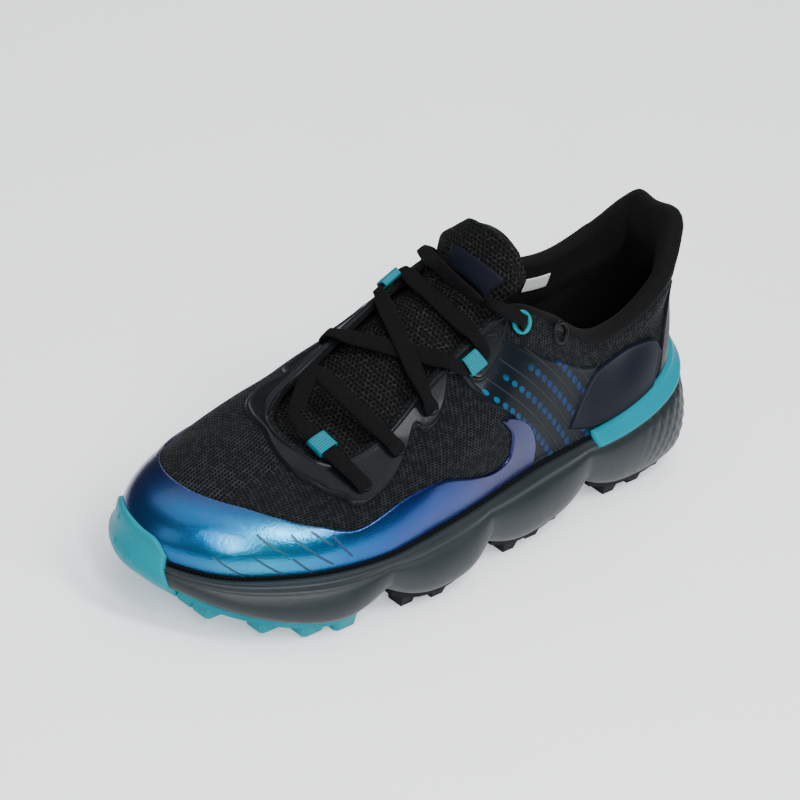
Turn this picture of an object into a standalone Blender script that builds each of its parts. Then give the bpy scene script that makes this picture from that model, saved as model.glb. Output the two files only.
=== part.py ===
"""Trail running shoe for the left foot: lobed foam midsole, lugged outsole, hollow mesh upper, overlays and laces.

Metres, +Z up, +X to the toe, +Y to the outer side. The floor is at Z = 0.
Every curved piece is worked out from one pair of functions: the outline of the sole and the skin of the upper.
"""

import bmesh
import bpy
import numpy as np
from mathutils import Vector

# Overall sizes
LENGTH = 0.2930
BALL_WIDTH = 0.118
HEEL_WIDTH = 0.090
UPPER_SETBACK = 0.0065
TOE_SETBACK = 0.0020
UPPER_LENGTH = LENGTH - UPPER_SETBACK - TOE_SETBACK
BITE_HEIGHT = 0.030
HEEL_HEIGHT = 0.1055
INSTEP_HEIGHT = 0.104
TOE_SPRING = 0.012
SPRING_START = 0.76

# Sole
LUG_HEIGHT = 0.0045
PLATE = 0.0025
VALLEY_DEPTH = 0.007
VALLEY_RISE = 0.0055
VALLEYS = (0.260, 0.493, 0.705)
EDGE_ROUND = 0.005
BULGE = 0.003
RIM = 0.0032
PLATE_INSET = 0.0004
POD_GAP = 0.012
POD_TOE = 0.008
LUG_LONG = 0.0085
LUG_WIDE = 0.0100
LUG_TAPER = 0.75
LUG_SINK = 0.0010
LUG_MARGIN = 0.0005
LUG_PITCH = 0.0155

# Upper
WALL = 0.0024
COLLAR_PAD = 0.0080
TUCK = 0.0030
GAP = 0.0003
OVERLAY = 0.0009
INSOLE = 0.0040
BUMPER = 0.0020
CLIP = 0.0014

# Tongue and laces
TONGUE = 0.0050
TONGUE_GAP = 0.0010
TONGUE_CURL = 0.18
TONGUE_FACES = (0.4, 0.0, 1.0)
LACE_WIDTH = 0.0070
LACE_THICK = 0.0015
LACE_CROSSING = 0.0012
LACE_GAP = 0.0006
WEBBING = 0.0009
WEBBING_WIDTH = 0.0105
LACE_TURN = 0.0192
RING_RADIUS = 0.0042
RING_WIRE = 0.0009

# Samples round the shoe (both sides together), up the wall and along a pod
AROUND = 84
UP_WALL = 6
POD_STEPS = 9

# The sole's widest line. Place along LENGTH, then how far it runs out on each side as a share of the width there.
SOLE_ROWS = (
    # place, outer, inner
    (0.000, 0.050, 0.050),
    (0.012, 0.310, -0.170),
    (0.050, 0.465, -0.335),
    (0.100, 0.520, -0.411),
    (0.180, 0.550, -0.444),
    (0.270, 0.562, -0.448),
    (0.375, 0.570, -0.435),
    (0.483, 0.552, -0.428),
    (0.600, 0.548, -0.445),
    (0.700, 0.530, -0.468),
    (0.800, 0.515, -0.450),
    (0.880, 0.430, -0.395),
    (0.940, 0.310, -0.286),
    (0.980, 0.160, -0.172),
    (1.000, -0.038, -0.038),
)

# The line where the upper meets the sole. Place along UPPER_LENGTH, shares of the width,
# then the heights of the line and of the footbed inside it as shares of BITE_HEIGHT.
BITE_ROWS = (
    # place, outer, inner, height, bed
    (0.000, 0.022, 0.022, 1.60, 0.90),
    (0.012, 0.190, -0.140, 1.54, 0.90),
    (0.050, 0.315, -0.260, 1.38, 0.89),
    (0.100, 0.380, -0.320, 1.26, 0.88),
    (0.180, 0.425, -0.355, 1.16, 0.87),
    (0.270, 0.440, -0.365, 1.11, 0.86),
    (0.375, 0.436, -0.360, 1.08, 0.83),
    (0.483, 0.434, -0.355, 1.04, 0.78),
    (0.600, 0.430, -0.368, 0.99, 0.71),
    (0.700, 0.436, -0.394, 0.95, 0.67),
    (0.800, 0.390, -0.386, 0.92, 0.67),
    (0.880, 0.305, -0.340, 0.90, 0.69),
    (0.940, 0.210, -0.266, 0.90, 0.73),
    (0.980, 0.090, -0.190, 0.93, 0.77),
    (1.000, -0.060, -0.060, 0.96, 0.80),
)

# The edge of collar and throat, one row for each rib of the skin. Along is a share of UPPER_LENGTH from its back,
# across of the width, height of the rim's own height. Rise and lean shape the rib's foot, fall and slope its top
# (rise and fall as shares of the rib's reach, lean and slope in degrees).
RIM_ROWS = (
    # side, place, along, across, height, rise, lean, fall, slope
    ("outer", 0.000, 0.004, -0.010, 1.000, 0.36, 8, 0.34, 112),
    ("outer", 0.050, 0.022, 0.205, 0.945, 0.36, 8, 0.34, 108),
    ("outer", 0.100, 0.070, 0.300, 0.835, 0.36, 5, 0.34, 100),
    ("outer", 0.180, 0.152, 0.335, 0.735, 0.36, 2, 0.34, 92),
    ("outer", 0.270, 0.237, 0.340, 0.735, 0.36, 0, 0.34, 84),
    ("outer", 0.375, 0.318, 0.280, 0.890, 0.36, 0, 0.32, 66),
    ("outer", 0.483, 0.396, 0.202, 1.000, 0.34, 0, 0.30, 56),
    ("outer", 0.600, 0.482, 0.168, 0.885, 0.34, 2, 0.30, 52),
    ("outer", 0.700, 0.563, 0.172, 0.750, 0.34, 4, 0.30, 46),
    ("outer", 0.800, 0.642, 0.198, 0.630, 0.34, 6, 0.32, 38),
    ("outer", 0.880, 0.704, 0.175, 0.560, 0.34, 8, 0.36, 28),
    ("outer", 0.940, 0.732, 0.115, 0.552, 0.32, 8, 0.40, 20),
    ("outer", 0.980, 0.742, 0.040, 0.565, 0.32, 8, 0.42, 17),
    ("tip", 1.000, 0.743, -0.025, 0.572, 0.33, 11, 0.42, 16),
    ("inner", 0.980, 0.740, -0.085, 0.580, 0.36, 14, 0.42, 17),
    ("inner", 0.940, 0.728, -0.140, 0.590, 0.36, 13, 0.40, 20),
    ("inner", 0.880, 0.698, -0.185, 0.620, 0.34, 8, 0.36, 28),
    ("inner", 0.800, 0.640, -0.205, 0.680, 0.36, 7, 0.32, 36),
    ("inner", 0.700, 0.563, -0.214, 0.790, 0.38, 6, 0.30, 44),
    ("inner", 0.600, 0.482, -0.220, 0.900, 0.38, 4, 0.30, 52),
    ("inner", 0.483, 0.396, -0.228, 1.000, 0.36, 2, 0.30, 58),
    ("inner", 0.375, 0.318, -0.262, 0.935, 0.36, 0, 0.32, 68),
    ("inner", 0.270, 0.237, -0.285, 0.815, 0.36, 0, 0.34, 84),
    ("inner", 0.180, 0.152, -0.275, 0.775, 0.36, 0, 0.34, 92),
    ("inner", 0.100, 0.070, -0.248, 0.840, 0.36, 3, 0.34, 100),
    ("inner", 0.050, 0.022, -0.182, 0.950, 0.36, 6, 0.34, 108),
)

# Toe guard: height of its top edge up the ribs, by place on each side.
GUARD_ROWS = (
    # side, place, edge
    ("outer", 0.362, 0.05),
    ("outer", 0.385, 0.22),
    ("outer", 0.415, 0.37),
    ("outer", 0.455, 0.41),
    ("outer", 0.480, 0.33),
    ("outer", 0.505, 0.17),
    ("outer", 0.550, 0.22),
    ("outer", 0.617, 0.31),
    ("outer", 0.703, 0.36),
    ("outer", 0.760, 0.31),
    ("outer", 0.811, 0.33),
    ("outer", 0.860, 0.42),
    ("outer", 0.898, 0.49),
    ("outer", 0.940, 0.53),
    ("outer", 0.973, 0.54),
    ("tip", 1.000, 0.50),
    ("inner", 0.958, 0.45),
    ("inner", 0.905, 0.39),
    ("inner", 0.840, 0.31),
    ("inner", 0.750, 0.24),
    ("inner", 0.650, 0.18),
    ("inner", 0.580, 0.08),
)

# Eyestay: where its outer edge lies up the ribs.
STAY_ROWS = (
    # side, place, edge
    ("outer", 0.520, 0.850),
    ("outer", 0.586, 0.800),
    ("outer", 0.635, 0.830),
    ("outer", 0.679, 0.713),
    ("outer", 0.715, 0.770),
    ("outer", 0.745, 0.640),
    ("outer", 0.771, 0.540),
    ("outer", 0.794, 0.510),
    ("outer", 0.822, 0.540),
    ("outer", 0.860, 0.670),
    ("outer", 0.909, 0.775),
    ("outer", 0.977, 0.865),
    ("tip", 1.000, 0.920),
    ("inner", 0.982, 0.940),
    ("inner", 0.930, 0.880),
    ("inner", 0.850, 0.780),
    ("inner", 0.765, 0.780),
    ("inner", 0.684, 0.780),
    ("inner", 0.586, 0.800),
    ("inner", 0.520, 0.850),
)

# Eyelets, front to back: place of the rib on each side and how far up it.
EYELET_ROWS = (
    # place, up outer, up inner
    (0.832, 0.700, 0.900),
    (0.765, 0.780, 0.870),
    (0.684, 0.830, 0.870),
    (0.596, 0.900, 0.900),
    (0.474, 0.905, 0.905),
    (0.368, 0.925, 0.925),
)
LOOP_ROW = 3

# Laces: the node that each span belongs to, its eyelet rows on the two sides (fractions lie between rows, and half
# past the row with webbing loops is the loop's rear end), and its middle's lift off the tongue in LACE_CROSSING.
LACE_ROWS = (
    # node, outer row, inner row, lift
    ("lace_front", 0.0, -0.7, 1.0),
    ("lace_front", 1.0, -0.3, 0.6),
    ("lace_middle", 3.0, 1.6, 0.0),
    ("lace_middle", 2.0, 3.0, 1.0),
    ("lace_middle", 3.5, 3.5, 0.0),
    ("lace_top", 4.0, 4.0, 1.4),
)

# Bumper's top edge up the ribs, by place on each side.
BUMPER_ROWS = (
    # side, place, edge
    ("outer", 0.9930, 0.10),
    ("tip", 1.0000, 0.15),
    ("inner", 0.9900, 0.17),
    ("inner", 0.9700, 0.16),
    ("inner", 0.9520, 0.11),
)

# Tongue under the throat: place of the two ribs that carry the section, and its crown over their edges
# as a share of INSTEP_HEIGHT.
TONGUE_ROWS = (
    # place, crown
    (0.955, 0.000),
    (0.880, 0.014),
    (0.800, 0.028),
    (0.710, 0.042),
    (0.620, 0.056),
    (0.530, 0.070),
)

# Free top of the tongue. Along is a share of UPPER_LENGTH from its back, height and droop of INSTEP_HEIGHT,
# middle and half of BALL_WIDTH.
TONGUE_TOP_ROWS = (
    # along, height, middle, half, droop
    (0.428, 1.070, -0.016, 0.172, 0.090),
    (0.411, 1.155, -0.006, 0.205, 0.060),
    (0.398, 1.232, 0.006, 0.190, 0.095),
    (0.394, 1.260, 0.010, 0.135, 0.045),
)


def smooth(t):
    """Soft step: 0 below 0, 1 above 1, level at both ends."""
    t = np.clip(t, 0.0, 1.0)
    return t * t * (3.0 - 2.0 * t)


def curve_through(keys, values, at):
    """Cubic curve through the values at rising keys, with each slope taken from the two neighbours."""
    keys = np.asarray(keys, float)
    values = np.asarray(values, float)
    slopes = np.gradient(values, keys, axis=0)
    k = np.clip(np.searchsorted(keys, at, side="right") - 1, 0, len(keys) - 2)
    each = (-1,) + (1,) * (values.ndim - 1)
    span = (keys[k + 1] - keys[k]).reshape(each)
    t = (at - keys[k]).reshape(each) / span
    t2 = t * t
    t3 = t2 * t
    return (
        (2 * t3 - 3 * t2 + 1) * values[k]
        + (t3 - 2 * t2 + t) * span * slopes[k]
        + (3 * t2 - 2 * t3) * values[k + 1]
        + (t3 - t2) * span * slopes[k + 1]
    )


def angle_of(place):
    """Turns a place from heel (0) to toe (1) into a half-turn share, so that outlines round off at both ends."""
    return np.arccos(1.0 - 2.0 * np.clip(np.asarray(place, float), 0.0, 1.0)) / np.pi


def place_of(u):
    """Place from heel to toe at u, which runs once round the shoe: heel 0, outer side, toe 0.5, inner side."""
    u = np.mod(u, 1.0)
    half = np.where(u <= 0.5, 2.0 * u, 2.0 - 2.0 * u)
    return (1.0 - np.cos(np.pi * half)) / 2.0


def round_trip(u_keys, values, u):
    """Closed cubic curve over u, through the values at the keys."""
    order = np.argsort(u_keys)
    keys = np.asarray(u_keys, float)[order]
    values = np.asarray(values, float)[order]
    keys = np.concatenate([keys[-3:] - 1.0, keys, keys[:3] + 1.0])
    values = np.concatenate([values[-3:], values, values[:3]])
    return curve_through(keys, values, np.mod(u, 1.0))


def both_sides(rows, outer, inner, u):
    """Closed curve from a table with one column for each side; the first and last rows are heel and toe."""
    halves = angle_of([row[0] for row in rows]) / 2.0
    keys = np.concatenate([halves, 1.0 - halves[1:-1]])
    values = np.concatenate([[row[outer] for row in rows], [row[inner] for row in rows[1:-1]]])
    return round_trip(keys, values, u)


def side_u(side, place):
    """The u of a place on one side."""
    half = angle_of(place) / 2.0
    return 1.0 - half if side == "inner" else half


def width_at(place):
    """Width of the shoe, from the heel's to the ball's."""
    return HEEL_WIDTH + (BALL_WIDTH - HEEL_WIDTH) * smooth((place - 0.25) / 0.40)


def outward(points):
    """Level unit normals of a closed line that runs anticlockwise seen from below: heel, outer side, toe."""
    along = np.roll(points, -1, axis=0) - np.roll(points, 1, axis=0)
    normal = np.stack([-along[:, 1], along[:, 0], np.zeros(len(points))], axis=1)
    return normal / np.linalg.norm(normal, axis=1, keepdims=True)


def sole_line(u):
    """Plan of the sole's widest line, at height 0."""
    place = place_of(u)
    across = both_sides(SOLE_ROWS, 1, 2, u) * width_at(place)
    return np.stack([LENGTH * place, across, np.zeros_like(across)], axis=1)


def bite_line(u):
    """The line where the upper's outside meets the sole."""
    place = place_of(u)
    across = both_sides(BITE_ROWS, 1, 2, u) * width_at(place)
    height = both_sides(BITE_ROWS, 3, 3, u) * BITE_HEIGHT
    return np.stack([UPPER_SETBACK + UPPER_LENGTH * place, across, height], axis=1)


def bed_height(u):
    """Height of the footbed's edge."""
    return both_sides(BITE_ROWS, 4, 4, u) * BITE_HEIGHT


def valley(along):
    """1 in the grooves between the lobes and 0 on the lobes' crests, from the distance along the sole."""
    ends = np.concatenate([[-VALLEYS[0] * 0.6], VALLEYS, [1.45]]) * LENGTH
    lobe = np.clip(np.searchsorted(ends, along) - 1, 0, len(ends) - 2)
    middle = (ends[lobe] + ends[lobe + 1]) / 2.0
    half = (ends[lobe + 1] - ends[lobe]) / 2.0
    away = np.abs(along - middle) / half
    inside = (along > ends[1]) & (along < ends[-2])
    power = np.where(inside, 3.0, 6.0)
    return np.clip(away, 0.0, 1.0) ** power


def spring_height(along):
    """Height that the toe's spring lifts the sole off the floor."""
    spring = np.clip((along / LENGTH - SPRING_START) / (1.0 - SPRING_START), 0.0, 1.1)
    return TOE_SPRING * spring**1.8


def under_height(along):
    """Height of the foam's underside: flat, lifted in the grooves and curving up to the toe."""
    return LUG_HEIGHT + PLATE + GAP + VALLEY_RISE * valley(along) + spring_height(along)


def grid_u():
    """The samples round the shoe, evenly spaced along the sole's edge on each side, heel and toe among them."""
    fine = np.linspace(0.0, 0.5, 2001)
    sides = []
    for sign in (1.0, -1.0):
        line = sole_line(np.mod(sign * fine, 1.0))
        steps = np.linalg.norm(np.diff(line, axis=0), axis=1)
        run = np.concatenate([[0.0], np.cumsum(steps)])
        sides.append(run / run[-1])
    run = (sides[0] + sides[1]) / 2.0
    half = np.interp(np.linspace(0.0, 1.0, AROUND // 2 + 1), run, fine)
    return np.concatenate([half, 1.0 - half[-2:0:-1]])


def bite_out(u):
    """Level unit normals of the bite line at any u."""
    along = bite_line(u + 0.001) - bite_line(u - 0.001)
    normal = np.stack([-along[:, 1], along[:, 0], np.zeros(len(along))], axis=1)
    return normal / np.linalg.norm(normal, axis=1, keepdims=True)


U = grid_u()
WALL_ROWS = np.linspace(0.0, 1.0, UP_WALL + 1)
SOLE_OUT = outward(sole_line(U))
BITE_OUT = bite_out(U)


def rib_ends(u):
    """The top of each rib, the length of its two handles and their directions, from RIM_ROWS."""
    keys = [side_u(row[0], row[1]) for row in RIM_ROWS]
    column = [round_trip(keys, [row[c] for row in RIM_ROWS], u) for c in range(2, 9)]
    along, across, height, rise, lean, fall, slope = column
    place = place_of(u)
    tall = HEEL_HEIGHT + (INSTEP_HEIGHT - HEEL_HEIGHT) * smooth((place - 0.05) / 0.25)
    top = np.stack([UPPER_SETBACK + UPPER_LENGTH * along, across * width_at(place), tall * height], axis=1)
    return top, rise, np.radians(lean), fall, np.radians(slope)


def skin(u, out, v):
    """Outside of the upper: for each u one Bezier rib from the bite line to the rim, sampled at the rising v."""
    foot = bite_line(u)
    top, rise, lean, fall, slope = rib_ends(u)
    reach = np.linalg.norm(top - foot, axis=1)
    up = np.array([0.0, 0.0, 1.0])
    first = foot + (reach * rise)[:, None] * (np.sin(lean)[:, None] * out + np.cos(lean)[:, None] * up)
    last = top + (reach * fall)[:, None] * (np.cos(slope)[:, None] * out - np.sin(slope)[:, None] * up)
    t = np.asarray(v, float)
    t = t[None, :, None] if t.ndim == 1 else t[:, :, None]
    return (
        (1 - t) ** 3 * foot[:, None]
        + 3 * (1 - t) ** 2 * t * first[:, None]
        + 3 * (1 - t) * t**2 * last[:, None]
        + t**3 * top[:, None]
    )


def skin_normals(grid, closed):
    """Unit normals of a grid of points, outwards. Its first axis runs round the shoe, its second up."""
    if closed:
        round_way = np.roll(grid, -1, axis=0) - np.roll(grid, 1, axis=0)
    else:
        round_way = np.gradient(grid, axis=0)
    up_way = np.gradient(grid, axis=1)
    normal = np.cross(up_way, round_way)
    return normal / np.linalg.norm(normal, axis=2, keepdims=True)


def wall_thickness(u, v):
    """Wall of the upper: WALL, growing to COLLAR_PAD towards the collar's rim."""
    collar = 1.0 - smooth((place_of(u) - 0.34) / 0.14)
    return WALL + (COLLAR_PAD - WALL) * collar[:, None] * smooth((v - 0.30) / 0.55)[None, :]


def upper_sheets(u, out):
    """Outside and inside of the upper's wall, from the skirt hidden in the sole up to the rim."""
    v = WALL_ROWS
    ribs = skin(u, out, v)
    foot = ribs[:, 0]
    hem = foot - out * TUCK
    hem[:, 2] = bed_height(u) + GAP
    outside = np.concatenate([hem[:, None], ribs], axis=1)
    normal = skin_normals(ribs, True)
    inside = ribs - normal * wall_thickness(u, v)[:, :, None]
    inner_foot = foot - out * WALL
    inside[:, 0] = inner_foot
    inner_hem = hem - out * WALL
    return outside, np.concatenate([inner_hem[:, None], inside], axis=1), normal


def material(name, colour, roughness, metallic=0.0):
    """A Principled material with one colour."""
    made = bpy.data.materials.new(name)
    made.use_nodes = True
    shader = made.node_tree.nodes["Principled BSDF"]
    shader.inputs["Base Color"].default_value = (*colour, 1.0)
    shader.inputs["Roughness"].default_value = roughness
    shader.inputs["Metallic"].default_value = metallic
    made.diffuse_color = (*colour, 1.0)
    return made


def put(name, mesh, made, collection="trail_shoe"):
    """An object of this mesh, in its collection, with its material and smooth shading."""
    mesh.materials.append(made)
    mesh.shade_smooth()
    mesh.set_sharp_from_angle(angle=np.radians(40.0))
    made_object = bpy.data.objects.new(name, mesh)
    bpy.data.collections[collection].objects.link(made_object)
    return made_object


def weave(grid, closed_u, closed_v, caps=False):
    """A mesh over a grid of points, each way open or closed. Caps fill the two ends of a tube closed in v."""
    nu, nv = grid.shape[:2]
    i = np.arange(nu if closed_u else nu - 1)[:, None]
    j = np.arange(nv if closed_v else nv - 1)[None, :]
    i2 = (i + 1) % nu
    j2 = (j + 1) % nv
    corners = [i * nv + j, i2 * nv + j, i2 * nv + j2, i * nv + j2]
    faces = np.stack([np.broadcast_to(c, (i.size, j.size)) for c in corners], axis=-1).reshape(-1, 4).tolist()
    if caps:
        faces.append(list(range(nv)))
        faces.append([(nu - 1) * nv + k for k in reversed(range(nv))])
    mesh = bpy.data.meshes.new("woven")
    mesh.from_pydata(grid.reshape(-1, 3).tolist(), [], faces)
    tidy = bmesh.new()
    tidy.from_mesh(mesh)
    bmesh.ops.remove_doubles(tidy, verts=tidy.verts, dist=1e-6)
    bmesh.ops.dissolve_degenerate(tidy, edges=tidy.edges, dist=1e-7)
    bmesh.ops.triangulate(tidy, faces=tidy.faces)
    bmesh.ops.recalc_face_normals(tidy, faces=tidy.faces)
    tidy.to_mesh(mesh)
    tidy.free()
    return mesh


def union(base, others):
    """Joins the other objects into base with Boolean unions, and removes them."""
    for other in others:
        joined = base.modifiers.new("join", "BOOLEAN")
        joined.operation = "UNION"
        joined.solver = "EXACT"
        joined.object = other
    graph = bpy.context.evaluated_depsgraph_get()
    mesh = bpy.data.meshes.new_from_object(base.evaluated_get(graph))
    base.modifiers.clear()
    base.data = mesh
    for other in others:
        bpy.data.objects.remove(other, do_unlink=True)
    return base


def wall_profile(w):
    """Outside of the foam: for each sample one Bezier rib from the underside's edge (w 0) to the rim (w 1)."""
    widest = sole_line(U)
    along = widest[:, 0]
    groove = valley(along)[:, None]
    low = under_height(along)
    rim_edge = bite_line(U) + BITE_OUT * RIM
    rise = rim_edge[:, 2] - low
    foot = widest - SOLE_OUT * (EDGE_ROUND + VALLEY_DEPTH * groove)
    foot[:, 2] = low
    belly = widest + SOLE_OUT * (BULGE - VALLEY_DEPTH * 0.8 * groove)
    belly[:, 2] = low + rise * 0.12
    waist = widest * 0.62 + rim_edge * 0.38 + SOLE_OUT * (BULGE - VALLEY_DEPTH * 0.35 * groove)
    waist[:, 2] = low + rise * 0.80
    t = np.asarray(w, float)[None, :, None]
    return (
        (1 - t) ** 3 * foot[:, None]
        + 3 * (1 - t) ** 2 * t * belly[:, None]
        + 3 * (1 - t) * t**2 * waist[:, None]
        + t**3 * rim_edge[:, None]
    )


def halves(strip):
    """Splits what runs round the shoe into its outer and inner sides, both from heel to toe."""
    half = AROUND // 2
    return strip[: half + 1], strip[np.mod(-np.arange(half + 1), AROUND)]


def midsole():
    """Foam midsole: a loft of sections from heel to toe, each one round both walls, the cup and the underside."""
    wall = wall_profile(np.linspace(0.0, 1.0, 6))
    foot = bite_line(U)
    cup_top = foot + BITE_OUT * GAP
    cup_low = foot - BITE_OUT * (TUCK - GAP)
    cup_low[:, 2] = bed_height(U)
    strip = np.concatenate([wall, cup_top[:, None], cup_low[:, None]], axis=1)
    outer, inner = halves(strip)
    share = np.linspace(0.0, 1.0, 5)[None, 1:-1, None]
    floor = outer[:, -1:] * (1 - share) + inner[:, -1:] * share
    under = inner[:, :1] * (1 - share) + outer[:, :1] * share
    sections = np.concatenate([outer, floor, inner[:, ::-1], under], axis=1)
    return put("midsole", weave(sections, False, True), material("slate_foam", (0.035, 0.045, 0.055), 0.5))


def upper():
    """Hollow upper: outside, rounded rim and inside in one closed band round the shoe."""
    outside, inside, normal = upper_sheets(U, BITE_OUT)
    rim_out = outside[:, -1]
    rim_in = inside[:, -1]
    share = np.array([0.3, 0.7])[None, :, None]
    thick = np.linalg.norm(rim_out - rim_in, axis=1)[:, None, None]
    way = outside[:, -1] - outside[:, -2]
    way /= np.linalg.norm(way, axis=1, keepdims=True)
    cap = rim_out[:, None] * (1 - share) + rim_in[:, None] * share + way[:, None] * thick * 0.42
    section = np.concatenate([outside, cap, inside[:, ::-1]], axis=1)
    return put("upper", weave(section, True, True), material("black_mesh", (0.012, 0.013, 0.015), 0.75))


def facets(picks, v):
    """Points on the upper's own facets, at the shares v up the ribs picked, and the unit normals there."""
    rows = picks[:, None]
    ribs = skin(U, BITE_OUT, WALL_ROWS)
    normals = skin_normals(ribs, True)
    k = np.clip(np.searchsorted(WALL_ROWS, v, side="right") - 1, 0, UP_WALL - 1)
    t = ((v - WALL_ROWS[k]) * UP_WALL)[:, :, None]
    points = ribs[rows, k] * (1 - t) + ribs[rows, k + 1] * t
    normal = normals[rows, k] * (1 - t) + normals[rows, k + 1] * t
    return points, normal / np.linalg.norm(normal, axis=2, keepdims=True)


def patch(name, picks, low, high, thickness, made):
    """An overlay a gap off the upper, between the shares low and high of the ribs picked, with the upper's facets."""
    points, normal = facets(picks, np.clip(WALL_ROWS[None, :], low[:, None], high[:, None]))
    under = points + normal * GAP
    over = under + normal * thickness
    section = np.concatenate([over, under[:, ::-1]], axis=1)
    return put(name, weave(section, False, True, caps=True), made)


def picks_between(start, end):
    """Grid samples from u start to u end, going round past the toe."""
    return np.nonzero((U >= start) & (U <= end))[0]


def toe_guard():
    """Thin moulded guard round the toe, cut from the upper's own skin."""
    picks, high = edge_picks(GUARD_ROWS)
    low = np.full(len(picks), 0.02)
    return patch("toe_guard", picks, low, high, OVERLAY, material("blue_guard", (0.02, 0.12, 0.35), 0.3, 0.6))


def edge_picks(rows):
    """Grid samples between the ends of a table of edges, and the edge's height up the rib at each."""
    keys = np.array([side_u(row[0], row[1]) for row in rows])
    picks = picks_between(keys[0], keys[-1])
    return picks, curve_through(keys, [row[2] for row in rows], U[picks])


def eyestay():
    """Glossy stay round the throat, which the laces run over, scalloped round its eyelets."""
    picks, low = edge_picks(STAY_ROWS)
    high = np.full(len(picks), 0.985)
    return patch("eyestay", picks, low, high, OVERLAY, material("slate_film", (0.03, 0.04, 0.055), 0.25))


def heel_clip():
    """Stiff band round the heel, just over the foam's rim."""
    picks = np.concatenate([np.nonzero(U >= side_u("inner", 0.20))[0], np.nonzero(U <= side_u("outer", 0.25))[0]])
    place = place_of(U[picks])
    low = np.full(len(picks), 0.02)
    high = 0.02 + 0.13 * (1.0 - smooth((place - 0.12) / 0.16)) + 0.05
    return patch("heel_clip", picks, low, high, CLIP, material("teal_plastic", (0.0, 0.42, 0.45), 0.4))


def insole():
    """Footbed inside the upper."""
    foot = bite_line(U)
    edge = foot - BITE_OUT * (TUCK + WALL + GAP)
    edge[:, 2] = bed_height(U) + GAP
    outer, inner = halves(edge)
    share = np.linspace(0.0, 1.0, 3)[None, :, None]
    low = outer[:, None] * (1 - share) + inner[:, None] * share
    high = low + np.array([0.0, 0.0, INSOLE])
    sections = np.concatenate([low, high[:, ::-1]], axis=1)[1:-1]
    return put("insole", weave(sections, False, True, caps=True), material("insole_cloth", (0.02, 0.02, 0.022), 0.9))


def plate_line(along):
    """Y of the plate's two edges at distances along the sole."""
    outer, inner = halves(wall_profile([0.0])[:, 0])
    middle = (outer[:, 0] + inner[:, 0]) / 2.0
    return np.interp(along, middle, outer[:, 1]) - PLATE_INSET, np.interp(along, middle, inner[:, 1]) + PLATE_INSET


def lug(along, across, made):
    """One tapered rubber lug under the plate, its foot on the floor or level with the toe's spring."""
    top = under_height(along) - GAP - PLATE + LUG_SINK
    low = spring_height(along)
    block = bmesh.new()
    bmesh.ops.create_cube(block, size=1.0)
    for corner in block.verts:
        at_foot = corner.co.z < 0.0
        taper = LUG_TAPER if at_foot else 1.0
        corner.co = (
            along + corner.co.x * LUG_LONG * taper,
            across + corner.co.y * LUG_WIDE * taper,
            low if at_foot else top,
        )
    mesh = bpy.data.meshes.new("lug")
    block.to_mesh(mesh)
    block.free()
    return put("lug", mesh, made, "cutters")


def pod(name, first, last, lug_rows, lug_columns, made):
    """A rubber plate under one lobe of the foam, with its lugs, between two distances along the sole."""
    along = np.linspace(first, last, POD_STEPS)
    y_outer, y_inner = plate_line(along)
    share = np.linspace(0.0, 1.0, 4)[None, :]
    across = y_outer[:, None] * (1 - share) + y_inner[:, None] * share
    high = np.repeat((under_height(along) - GAP)[:, None], across.shape[1], axis=1)
    over = np.stack([np.repeat(along[:, None], across.shape[1], axis=1), across, high], axis=2)
    under = over - np.array([0.0, 0.0, PLATE])
    section = np.concatenate([over, under[:, ::-1]], axis=1)
    base = put(name, weave(section, False, True, caps=True), made)
    lugs = []
    inset = LUG_WIDE / 2.0 + LUG_MARGIN
    for row in range(lug_rows):
        x = (first + last) / 2.0 + (row - (lug_rows - 1) / 2.0) * LUG_PITCH
        y_outer, y_inner = plate_line(np.array([x - LUG_LONG / 2.0, x + LUG_LONG / 2.0]))
        lugs += [lug(x, y, made) for y in np.linspace(y_outer.min() - inset, y_inner.max() + inset, lug_columns)]
    return union(base, lugs)


def bumper(made):
    """Rubber bumper over the toe: a strip that climbs the foam's wall and the guard from inside the front plate."""
    keys = np.array([side_u(row[0], row[1]) for row in BUMPER_ROWS])
    picks = picks_between(keys[0], keys[-1])
    high = curve_through(keys, [row[2] for row in BUMPER_ROWS], U[picks])
    out = SOLE_OUT[picks][:, None]
    wall = wall_profile(np.linspace(0.0, 1.0, 6))[picks] + out * GAP
    corner = wall[:, -1:] + np.array([0.0, 0.0, GAP])
    v = 0.05 + (high[:, None] - 0.05) * np.linspace(0.0, 1.0, 3)[None, :]
    ribs, normal = facets(picks, v)
    ribs = ribs + normal * (2 * GAP + OVERLAY)
    climb = np.concatenate([wall, corner, ribs], axis=1)
    over = climb + skin_normals(climb, False) * BUMPER
    root = wall[:, :1] - out * POD_TOE
    foot = np.concatenate([root, wall[:, :1]], axis=1)
    foot[:, :, 2] = under_height(foot[:, :, 0]) - GAP
    under = np.concatenate([foot, climb[:, 1:]], axis=1)
    over[:, 0] = foot[:, 1] - np.array([0.0, 0.0, PLATE]) + out[:, 0] * BUMPER / 2.0
    over = np.concatenate([foot[:, :1] - np.array([0.0, 0.0, PLATE]), over], axis=1)
    section = np.concatenate([over, under[:, ::-1]], axis=1)
    return put("bumper", weave(section, False, True, caps=True), made, "cutters")


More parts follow.
